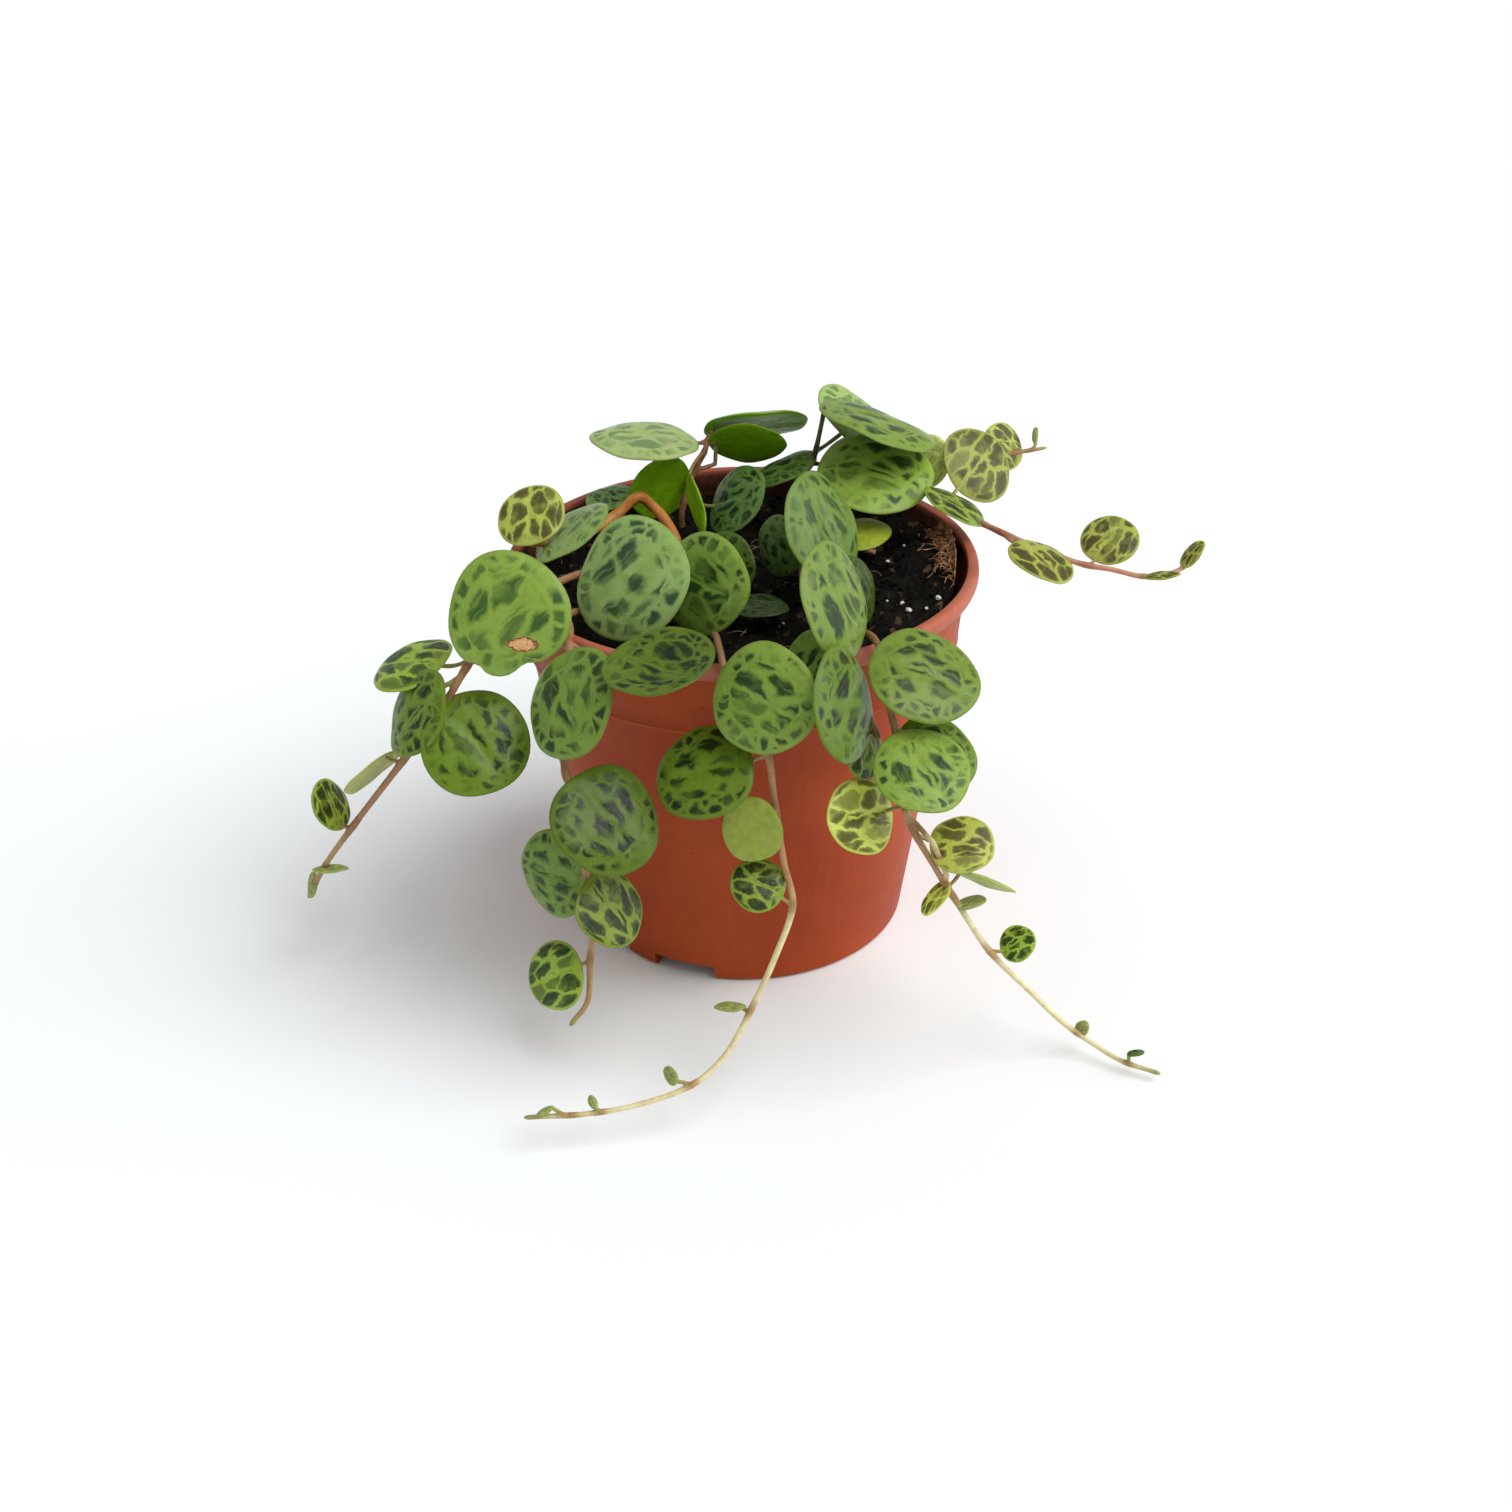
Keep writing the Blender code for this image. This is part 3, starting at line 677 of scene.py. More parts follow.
@dataclass(frozen=True)
class LeafSkin:
    """Waxy leaf skin: dark shell-like patches between paler veins, a thin margin line and a fine grain.

    The pattern lies on the blade's own map, whose middle is (0.5, 0.5) and whose margin is 0.5 away.
    Veins fan out from the stalk with long patches between them, and a ring of small patches runs along
    the margin. Young blades have a net of veins and no ring. The mesh gives each blade its two colours,
    how strong and how crisp its patches are, and where its pattern starts.
    """

    fan_foot: float = 1.2
    fan_cells: tuple[float, float] = (2.7, 1.7)
    ring_cells: tuple[float, float] = (3.1, 3.1)
    ring_start: float = 0.675
    warm: Colour = srgb(255, 255, 214)
    shade: Colour = srgb(214, 226, 200)
    mottle: Colour = srgb(212, 222, 196)
    margin: Colour = srgb(186, 176, 150)
    speck: Colour = srgb(60, 62, 34)
    specular: float = 0.26
    scarred: bool = False
    scar_middle: tuple[float, float] = (0.21, 0.49)
    scar_turn: float = 126.0
    scar_half: tuple[float, float] = (0.245, 0.12)
    cork: tuple[Colour, Colour] = (srgb(226, 178, 128), srgb(190, 136, 86))
    scar_rim: Colour = srgb(132, 84, 36)

    def material(self) -> bpy.types.Material:
        """Lays the layers of the finish.

        Returns:
            The material.
        """
        g = Graph("leaf_skin_scarred" if self.scarred else "leaf_skin")
        centred = g.vector("SUBTRACT", g.node("UVMap", uv_map="blade").outputs[0], (0.5, 0.5, 0))
        flat = g.vector("SCALE", centred, 2.0)
        reach = g.vector("LENGTH", flat)
        start = g.attribute("start", "Vector")
        seeded = g.vector("ADD", flat, start)
        cloud = g.ramp(g.noise(seeded, 1.9, 2), 0.25, 0.5, 0.55, 1.0)
        mask = g.times(self.patches(g, seeded, start, reach), cloud, g.attribute("strength"))
        lift = g.ramp(g.noise(seeded, 1.5, 2), 0.35, 0.7, 0.0, 0.6)
        ground = g.tint(lift, g.attribute("ground", "Color"), self.warm)
        ground = g.tint(g.ramp(g.noise(seeded, 3.7, 3), 0.4, 0.7, 0.0, 0.5), ground, self.shade)
        colour = g.mix(mask, ground, g.attribute("patch", "Color"))
        mottled = g.ramp(g.noise(seeded, 19, 4, 0.65), 0.45, 0.75, 0.0, 0.35)
        colour = g.tint(mottled, colour, self.mottle)
        colour = g.tint(g.ramp(reach, 0.955, 1.0, 0.0, 0.5), colour, self.margin)
        specks = g.ramp(g.scatter(seeded, 7.0, "2D"), 0.075, 0.04, 0.0, 0.6)
        specks = g.times(specks, g.ramp(g.noise(seeded, 5.0, 1), 0.6, 0.64))
        colour = g.mix(specks, colour, self.speck)
        height = g.plus(g.noise(seeded, 3.5, 3), g.times(g.noise(seeded, 60.0, 1), 0.05))
        normal = g.bump(height, 0.00028, 0.7)
        rough = g.ramp(g.noise(seeded, 8, 3), 0.3, 0.7, 0.3, 0.42)
        if self.scarred:
            colour, rough, normal = self.scar(g, flat, colour, rough, normal)
        g.shade(Base_Color=colour, Roughness=rough, Normal=normal, Specular_IOR_Level=self.specular)
        g.shade(Subsurface_Weight=0.15, Subsurface_Scale=0.0009, Subsurface_Radius=(0.6, 1.0, 0.2))
        return g.material

    def patches(self, g: Graph, seeded: Socket, start: Socket, reach: Socket) -> Socket:
        """Lays the dark patches between the veins.

        Args:
            g: The material's nodes.
            seeded: Place on the blade, 1 at the margin, moved to where the blade's pattern starts.
            start: Where the blade's pattern starts.
            reach: Distance from the blade's middle.

        Returns:
            How dark each place is.
        """
        moved = g.vector("SUBTRACT", g.wander(g.wander(seeded, 2.3, 0.34), 7.0, 0.09), start)
        spot = g.node("SeparateXYZ", {0: moved})
        x, y = spot.outputs[0], spot.outputs[1]
        ahead = g.plus(x, self.fan_foot)
        length = g.vector("LENGTH", g.flat(ahead, y))
        arc = g.times(g.math("ARCTAN2", y, ahead), length)
        crisp = g.attribute("crisp")
        count = g.ramp(crisp, 0.0, 1.0, 0.95, 0.82)
        fan = g.flat(g.times(arc, self.fan_cells[0]), g.times(length, self.fan_cells[1]))
        rib = g.math("MAXIMUM", g.ramp(g.math("ABSOLUTE", arc), 0.025, 0.075), g.ramp(length, 1.55, 1.8))
        base = g.ramp(length, 0.32, 0.6)
        hair = g.noise(g.flat(g.times(arc, 13.0), length), 1.0, 1)
        hair = g.math("MAXIMUM", g.ramp(hair, 0.52, 0.66, 1.0, 0.6), crisp)
        inner = g.times(self.islands(g, fan, count, start, 0.04), hair, rib, base)
        out = g.vector("LENGTH", moved)
        around = g.times(g.math("ARCTAN2", y, x), self.ring_cells[0])
        ring = g.flat(around, g.times(out, self.ring_cells[1]))
        broken = g.ramp(g.noise(g.vector("ADD", moved, start), 1.3, 2), 0.36, 0.56, 0.25, 1.0)
        outer = self.islands(g, ring, count, start, 0.07)
        outer = g.times(outer, g.ramp(reach, 0.95, 0.88), base, broken)
        whole = g.ramp(crisp, 0.5, 0.8)
        begun = g.ramp(out, self.ring_start - 0.015, self.ring_start + 0.015)
        edge = g.times(begun, g.less(1.0, whole))
        gap = g.ramp(g.math("ABSOLUTE", g.less(out, self.ring_start)), 0.0, 0.06)
        gap = g.times(g.math("MAXIMUM", gap, whole), g.ramp(reach, 0.98, 0.9))
        return g.times(g.plus(inner, g.times(edge, g.less(outer, inner))), gap)

    def islands(self, g: Graph, place: Socket, count: Socket, start: Socket, least: float) -> Socket:
        """Lays rounded islands of uneven size in a plane of cells.

        Args:
            g: The material's nodes.
            place: Place in the plane, about one cell to a unit.
            count: What the place is multiplied by; a smaller one makes larger islands.
            start: Where the blade's pattern starts.
            least: Width of the veins round the largest islands.

        Returns:
            How dark each place is.
        """
        spot = g.vector("ADD", g.vector("SCALE", place, count), start)
        edge = g.cells(spot, 1.0, "DISTANCE_TO_EDGE", "2D").outputs["Distance"]
        middle = g.cells(spot, 1.0, "F1", "2D")
        cell = g.chances(middle)
        young = g.attribute("crisp")
        shore = g.ramp(cell.outputs[0], 0.0, 1.0, least - 0.1, least + 0.07)
        shore = g.less(shore, g.ramp(g.noise(spot, 0.7, 1), 0.46, 0.72, 0.02, 0.18))
        shore = g.times(shore, g.ramp(young, 0.0, 1.0, 1.0, 0.25))
        soft = g.ramp(young, 0.0, 1.0, 0.34, 0.12)
        ragged = g.times(g.less(g.noise(spot, 2.2, 4, 0.68), 0.5), soft)
        rounding = g.times(g.less(0.4, middle.outputs["Distance"]), 0.4)
        depth = g.less(g.plus(g.plus(edge, rounding), ragged), shore)
        dark = g.ramp(g.math("DIVIDE", depth, soft), 0.0, 1.0)
        faint = g.ramp(cell.outputs[1], 0.0, 0.25, 0.6, 1.0)
        return g.times(dark, faint, g.ramp(depth, 0.1, 0.32, 0.84, 1.0))

    def scar(
        self, g: Graph, flat: Socket, colour: Socket, rough: Socket, normal: Socket
    ) -> tuple[Socket, Socket, Socket]:
        """Adds the healed wound: sunken tan cork with a raised brown rim.

        Args:
            g: The material's nodes.
            flat: Place on the blade, 1 at the margin.
            colour: The skin's colour.
            rough: The skin's roughness.
            normal: The skin's normal.

        Returns:
            Colour, roughness and normal with the wound on them.
        """
        turn = math.radians(self.scar_turn)
        centred = g.vector("SUBTRACT", flat, (*self.scar_middle, 0.0))
        cosine, sine = math.cos(turn), math.sin(turn)
        half_length, half_width = self.scar_half
        along = g.dot(centred, (cosine / half_length, sine / half_length, 0))
        across = g.dot(centred, (-sine / half_width, cosine / half_width, 0))
        away = g.vector("LENGTH", g.flat(along, across))
        away = g.plus(away, g.ramp(g.noise(flat, 14, 3), 0.2, 0.8, -0.22, 0.22))
        cork = g.mix(g.ramp(g.noise(flat, 34, 3), 0.4, 0.7), *self.cork)
        cork = g.mix(g.ramp(away, 0.7, 0.95), cork, self.scar_rim)
        inside = g.ramp(away, 1.1, 0.98)
        height = g.times(g.ramp(away, 0.98, 0.75), -1.0)
        return (
            g.mix(inside, colour, cork),
            g.plus(rough, g.times(inside, 0.35)),
            g.bump(height, 0.0002, 0.9, normal),
        )


class Look(Enum):
    """How a blade is coloured: vein colour, patch colour, how strong the patches are and how crisp."""

    MATURE = (srgb(130, 158, 66), srgb(42, 64, 24), 1.0, 0.1)
    FRESH = (srgb(136, 166, 72), srgb(60, 92, 36), 1.0, 0.0)
    GREY = (srgb(146, 176, 104), srgb(50, 78, 46), 1.0, 0.1)
    DEEP = (srgb(108, 136, 36), srgb(26, 44, 12), 1.0, 0.2)
    YOUNG = (srgb(178, 186, 88), srgb(74, 70, 30), 0.95, 1.0)
    CRISP = (srgb(144, 168, 62), srgb(38, 54, 18), 1.0, 0.9)
    TENDER = (srgb(160, 170, 100), srgb(118, 126, 70), 0.8, 0.8)
    PALE = (srgb(140, 162, 90), srgb(66, 92, 42), 0.9, 0.0)
    LIME = (srgb(152, 166, 46), srgb(122, 138, 36), 0.5, 0.0)
    LIT = (srgb(124, 156, 62), srgb(44, 70, 30), 1.0, 0.0)
    GLARE = (srgb(158, 180, 122), srgb(92, 122, 70), 0.9, 0.1)
    DARK = (srgb(94, 124, 60), srgb(24, 44, 20), 1.0, 0.0)


@dataclass(frozen=True)
class Leaf:
    """A round blade: middle, turn and tilt of its upper face, width, and where its stalk starts.

    Each dent in its margin has a direction and a half width in degrees, and a depth as a share of
    the radius. Its colours are multiplied by a factor: partly how pale or dark the leaf itself is,
    partly painted light and shade, for how much light falls on that leaf.
    """

    at: Point
    turn: float
    tilt: float
    across: float
    station: float
    look: Look = Look.MATURE
    narrow: float = 1.0
    dome: float = 0.07
    dents: tuple[tuple[float, float, float], ...] = ()
    scarred: bool = False
    tone: float = 1.0

    def facing(self) -> Vector:
        """Returns the normal of the upper face."""
        turn, tilt = math.radians(self.turn), math.radians(self.tilt)
        return Vector((math.cos(tilt) * math.cos(turn), math.cos(tilt) * math.sin(turn), math.sin(tilt)))

    def axes(self, origin: Vector) -> tuple[Vector, Vector, Vector]:
        """Gives the blade's own directions.

        Args:
            origin: Where the stalk leaves the stem.

        Returns:
            Direction from the stalk to the tip, direction across, and the upper face's normal.
        """
        up = self.facing()
        towards = origin - Vector(self.at)
        towards -= towards.dot(up) * up
        along = -towards.normalized()
        return along, up.cross(along), up

    def thickness(self) -> float:
        """Returns the blade's thickness at its middle."""
        return max(THINNEST_BLADE, THICKNESS_RATE * self.across)


@dataclass(frozen=True)
class BladeMaker:
    """Shapes every blade from one thick round master.

    Heights of waves, ripple and groove are shares of the blade's radius.
    """

    sides: int = 48
    spreads: tuple[float, ...] = (
        1.0, 0.996, 0.985, 0.965, 0.935, 0.89, 0.82, 0.73, 0.62, 0.5, 0.37, 0.23, 0.1,
    )
    fullness: float = 0.86
    roundness: float = 3.2
    rim: float = 0.55
    lobes: tuple[tuple[int, float], ...] = ((2, 0.012), (3, 0.018), (4, 0.014), (6, 0.006))
    waves: int = 3
    wave: float = 0.03
    wave_step: float = 2.4
    ripples: int = 7
    ripple: float = 0.008
    groove: float = 0.035
    groove_length: float = 0.9
    groove_width: float = 0.09
    egg: float = 0.06
    underside: Colour = srgb(176, 190, 120)
    shone_through: Colour = srgb(128, 178, 22)
    patch_below: float = 0.25
    patch_shone_through: float = 0.05

    def master(self) -> bpy.types.Object:
        """Shapes the lens that every blade is copied from, mirrored from its upper half.

        Returns:
            The round lens, 1 m in radius and from -1 to 1 m thick.
        """
        stations = [(1.0, 0.0)]
        for spread in self.spreads[1:]:
            stations.append((spread, self.fullness * (1 - spread**self.roundness) ** self.rim))
        obj = raise_rings("blade_master", self.sides, stations, unit=1.0)
        with editing(obj):
            select_vertices(obj, lambda place: place.z < LEVEL)
            bpy.ops.mesh.delete(type="ONLY_FACE")
        apply_modifier(obj, "MIRROR", use_axis=(False, False, True), merge_threshold=0.0001)
        with editing(obj):
            face_outwards()
        return obj

    def blade(
        self, master: bpy.types.Object, leaf: Leaf, origin: Vector, index: int, seed: str
    ) -> bpy.types.Object:
        """Copies the master and gives it one leaf's shape, place, map and colours.

        Args:
            master: The master lens.
            leaf: The leaf.
            origin: Where its stalk leaves the stem, in millimetres.
            index: Its number on the stem.
            seed: Text that its random details start from.

        Returns:
            The blade.
        """
        draw = random.Random(seed)
        obj = copied(master, f"blade_{index}")
        x, y, z = coordinates(obj).T
        spread, turn = np.hypot(x, y), np.arctan2(y, x)
        radius, half = leaf.across / 2, leaf.thickness() / 2
        outline = np.ones(len(x))
        for lobes, size in self.lobes:
            outline += size * draw.uniform(0.4, 1.0) * np.sin(lobes * turn + draw.uniform(0, math.tau))
        for centre, width, depth in leaf.dents:
            away = (np.degrees(turn) - centre + 180) % 360 - 180
            outline -= depth * np.exp(-((away / width) ** 2)) * spread**4
        lift = -leaf.dome * spread**2
        lift += self.wave * spread**2 * np.cos(self.waves * turn + self.wave_step * index)
        lift += self.ripple * spread**3 * np.cos(self.ripples * turn + draw.uniform(0, 6))
        along_rib = (x / self.groove_length) ** 2 + (y / self.groove_width) ** 2
        lift -= self.groove * np.exp(-along_rib) * (z > 0)
        lift = radius * lift + half * z
        forward = radius * spread * outline * np.cos(turn)
        across = radius * spread * outline * np.sin(turn) * leaf.narrow
        across *= 1.0 - self.egg * spread * np.cos(turn)
        along, side, up = (np.array(axis) for axis in leaf.axes(origin))
        places = np.array(leaf.at) + np.outer(forward, along) + np.outer(across, side) + np.outer(lift, up)
        move_vertices(obj, places * MM)
        self.map_blade(obj, x, y)
        self.colour_blade(obj, leaf, z, draw)
        return obj

    def map_blade(self, obj: bpy.types.Object, x: np.ndarray, y: np.ndarray) -> None:
        """Lays the blade's map: its middle at (0.5, 0.5), its margin 0.5 away.

        Args:
            obj: The blade.
            x: Place of each vertex from the middle to the tip, 1 at the margin.
            y: Its place across.
        """
        layer = obj.data.uv_layers.new(name="blade")
        corners = np.empty(len(obj.data.loops), np.int32)
        obj.data.loops.foreach_get("vertex_index", corners)
        flat = np.stack((0.5 + x[corners] / 2, 0.5 + y[corners] / 2), axis=1)
        layer.uv.foreach_set("vector", flat.astype(np.float32).ravel())

    def colour_blade(self, obj: bpy.types.Object, leaf: Leaf, z: np.ndarray, draw: random.Random) -> None:
        """Stores the blade's colours, with a little chance in them, and a plainer, paler underside.

        Args:
            obj: The blade.
            leaf: The leaf.
            z: Height of each vertex, from -1 on the underside to 1 on the upper face.
            draw: Source of chance.
        """
        ground, patch, strength, crisp = leaf.look.value
        # The leaf's factor holds painted light and shade as well as its own lightness.
        tone = leaf.tone * draw.uniform(0.96, 1.04)
        warm = draw.uniform(-0.04, 0.06)
        ground = np.array(ground) * tone * (1 + warm, 1.0, 1 - warm)
        if leaf.look is Look.LIT:
            under, faint = np.array(self.shone_through) * tone, self.patch_shone_through
        else:
            under, faint = ground * 0.75 + np.array(self.underside) * 0.25, self.patch_below
        upper = np.clip(z * 4 + 0.5, 0, 1)[:, None]
        store(obj, "ground", "FLOAT_COLOR", ground * upper + under * (1 - upper))
        store(obj, "patch", "FLOAT_COLOR", np.tile(np.array(patch) * tone, (len(z), 1)))
        store(obj, "strength", "FLOAT", strength * (faint + (1 - faint) * upper))
        store(obj, "crisp", "FLOAT", np.full(len(z), crisp))
        start = (draw.uniform(3, 40), draw.uniform(3, 40), 0.0)
        store(obj, "start", "FLOAT_VECTOR", np.tile(start, (len(z), 1)))


class Skin(Enum):
    """Colours along a stem: at its root, in its middle and at its tip."""

    BROWN = (srgb(86, 64, 42), srgb(140, 100, 64), srgb(150, 132, 78))
    AMBER = (srgb(176, 110, 40), srgb(206, 138, 54), srgb(190, 140, 70))
    TAN = (srgb(126, 92, 58), srgb(170, 122, 84), srgb(176, 142, 92))
    CREAM_END = (srgb(124, 92, 56), srgb(176, 134, 88), srgb(222, 214, 164))
    ROSE = (srgb(140, 95, 70), srgb(190, 130, 104), srgb(178, 136, 96))
    SLATE = (srgb(62, 54, 36), srgb(88, 82, 52), srgb(104, 112, 60))


@dataclass(frozen=True)
class LeafyStem:
    """A stem with its stalks and blades, its place in the soil and the points that it runs through.

    A sample of a rod has a place, a radius, an age and a share of knot. The age goes from 0 at the
    neck to 1 at the tip of a stem, and from STALK_AGE at the foot of a stalk to 1 more at its end.
    """

    name: str
    root: tuple[float, float]
    route: tuple[Point, ...]
    leaves: tuple[Leaf, ...]
    shoots: tuple[tuple[Point, ...], ...] = ()
    skin: Skin = Skin.BROWN
    pale_from: float = 0.75
    green: Colour = srgb(142, 152, 72)
    green_from: float = 0.96
    foot: float = 42.0
    neck: float = 49.5
    radius: float = 0.5
    taper: float = 0.3
    knot_swell: float = 0.22
    knot_reach: float = 0.16
    tip: float = 0.5
    shoot_age: float = 0.6
    stalk_radius: float = 0.34
    stalk_share: float = 0.35
    stalk_reach: float = 0.8
    stalk_sag: float = 0.12
    stalk_steps: int = 8
    samples: int = 8
    voxel: float = 0.12

    def line(self) -> list[Vector]:
        """Lists the points that the curve of the stem runs by.

        Returns:
            The neck and the route, with one point more at each end that sets the direction there.
        """
        points = [Vector((*self.root, self.neck))] + [Vector(point) for point in self.route]
        below = Vector((points[1].x, points[1].y, 2 * self.neck - points[1].z))
        return [below, *points, 2 * points[-1] - points[-2]]

    def point(self, place: float) -> Vector:
        """Gives a point of the smooth curve through the neck and the route.

        Args:
            place: 0 at the neck, and one more at each point of the route.

        Returns:
            The point, in millimetres.
        """
        line = self.line()
        index = min(int(place), len(line) - 4)
        t = place - index
        a, b, c, d = line[index : index + 4]
        cubic = 3 * b - a - 3 * c + d
        square = 2 * a - 5 * b + 4 * c - d
        return 0.5 * (2 * b + (c - a) * t + square * t * t + cubic * t * t * t)

    def station(self, leaf: Leaf) -> float:
        """Returns the place along the stem of a leaf's stalk, short of the tip."""
        return min(leaf.station, len(self.route) - 0.05)

    def rods(self) -> list[list[Sample]]:
        """Lists the rods that make up the stem.

        Returns:
            The samples of the stem, then of each shoot and of each stalk.
        """
        spans = len(self.route)
        stations = [self.station(leaf) for leaf in self.leaves]
        stem = [(Vector((*self.root, self.foot)), self.radius, 0.0, 0.0)]
        for step in range(spans * self.samples + 1):
            place = step / self.samples
            age = place / spans
            knot = max(math.exp(-(((place - station) / self.knot_reach) ** 2)) for station in stations)
            radius = self.radius * (1 - self.taper * age * age) * (1 + self.knot_swell * knot)
            stem.append((self.point(place), radius, age, knot))
        end, radius, age, _ = stem[-1]
        stem.append((end + (end - stem[-2][0]).normalized() * self.tip, radius * 0.45, age, 0.0))
        rods = [stem]
        for shoot in self.shoots:
            rods.append([(Vector(point), self.stalk_radius, self.shoot_age, 0.0) for point in shoot])
        return rods + [self.stalk(leaf) for leaf in self.leaves]

    def stalk(self, leaf: Leaf) -> list[Sample]:
        """Gives the samples of one leaf's stalk, from the stem to inside the blade near its margin.

        Args:
            leaf: The leaf.

        Returns:
            The samples.
        """
        origin = self.point(self.station(leaf))
        along, _, up = leaf.axes(origin)
        reach = self.stalk_reach * leaf.across / 2
        sunk = max(0.0, leaf.dome) * self.stalk_reach * reach + 0.16 * leaf.thickness()
        end = Vector(leaf.at) - along * reach - up * sunk
        middle = (origin + end) / 2 - up * (self.stalk_sag * (end - origin).length)
        radius = min(self.stalk_radius, self.stalk_share * leaf.thickness())
        samples = []
        for step in range(self.stalk_steps + 1):
            t = step / self.stalk_steps
            place = origin * (1 - t) * (1 - 2 * t) + middle * 4 * t * (1 - t) + end * t * (2 * t - 1)
            flare = 1.2 - 0.35 * math.sin(math.pi * min(1.0, t * 1.15)) - 0.45 * t**4
            samples.append((place, radius * flare, STALK_AGE + t, 0.4 * (1 - t)))
        return samples

    def stalks(self) -> bpy.types.Object:
        """Fuses stem, shoots and stalks.

        Returns:
            One smooth body.
        """
        rods = self.rods()
        runs = [[(place, radius) for place, radius, _, _ in rod] for rod in rods]
        obj = tubes(f"{self.name}_stalks", runs, "POLY", roundness=3)
        with editing(obj):
            bpy.ops.mesh.select_all(action="SELECT")
            bpy.ops.mesh.remove_doubles(threshold=LEVEL)
            face_outwards()
        apply_modifier(obj, "REMESH", mode="VOXEL", voxel_size=self.voxel * MM)
        apply_modifier(obj, "SMOOTH", factor=0.5, iterations=4)
        self.colour_stalks(obj, [sample for rod in rods for sample in rod])
        return obj

    def shade(self, age: float) -> np.ndarray:
        """Gives the skin's colour at one age.

        Args:
            age: The age of a sample.

        Returns:
            The linear colour.
        """
        root, middle, tip = (np.array(colour) for colour in self.skin.value)
        green = np.array(self.green)
        if age >= STALK_AGE:
            return middle + (green - middle) * (age - STALK_AGE)
        if age <= self.pale_from:
            return root + (middle - root) * min(1.0, 2.5 * age)
        share = (age - self.pale_from) / (1 - self.pale_from)
        colour = middle + (tip - middle) * min(1.0, 9 * share)
        return colour + (green - colour) * max(0.0, age - self.green_from) / (1 - self.green_from)

    def colour_stalks(self, obj: bpy.types.Object, samples: list[Sample]) -> None:
        """Stores the skin's colour and how much of a knot each vertex is, from its nearest samples.

        Args:
            obj: The fused body.
            samples: All samples of its rods.
        """
        tree = KDTree(len(samples))
        for index, (place, _, _, _) in enumerate(samples):
            tree.insert(place * MM, index)
        tree.balance()
        rows = np.array([(*self.shade(age), knot) for _, _, age, knot in samples])
        marks = []
        for vertex in obj.data.vertices:
            near = tree.find_n(vertex.co, 3)
            weights = [1 / (1e-5 + distance) for _, _, distance in near]
            marks.append(sum(rows[i] * w for (_, i, _), w in zip(near, weights)) / sum(weights))
        marks = np.array(marks)
        store(obj, "bark", "FLOAT_COLOR", marks[:, :3])
        store(obj, "knot", "FLOAT", marks[:, 3])

    def blades(self, maker: BladeMaker, master: bpy.types.Object) -> bpy.types.Object:
        """Returns all blades of the stem as one object.

        Args:
            maker: Shapes the blades.
            master: The master lens.

        Returns:
            The joined blades.
        """
        made = []
        for index, leaf in enumerate(self.leaves):
            origin = self.point(self.station(leaf))
            made.append(maker.blade(master, leaf, origin, index, f"{self.name}_{index}"))
        return joined(f"{self.name}_leaves", made)


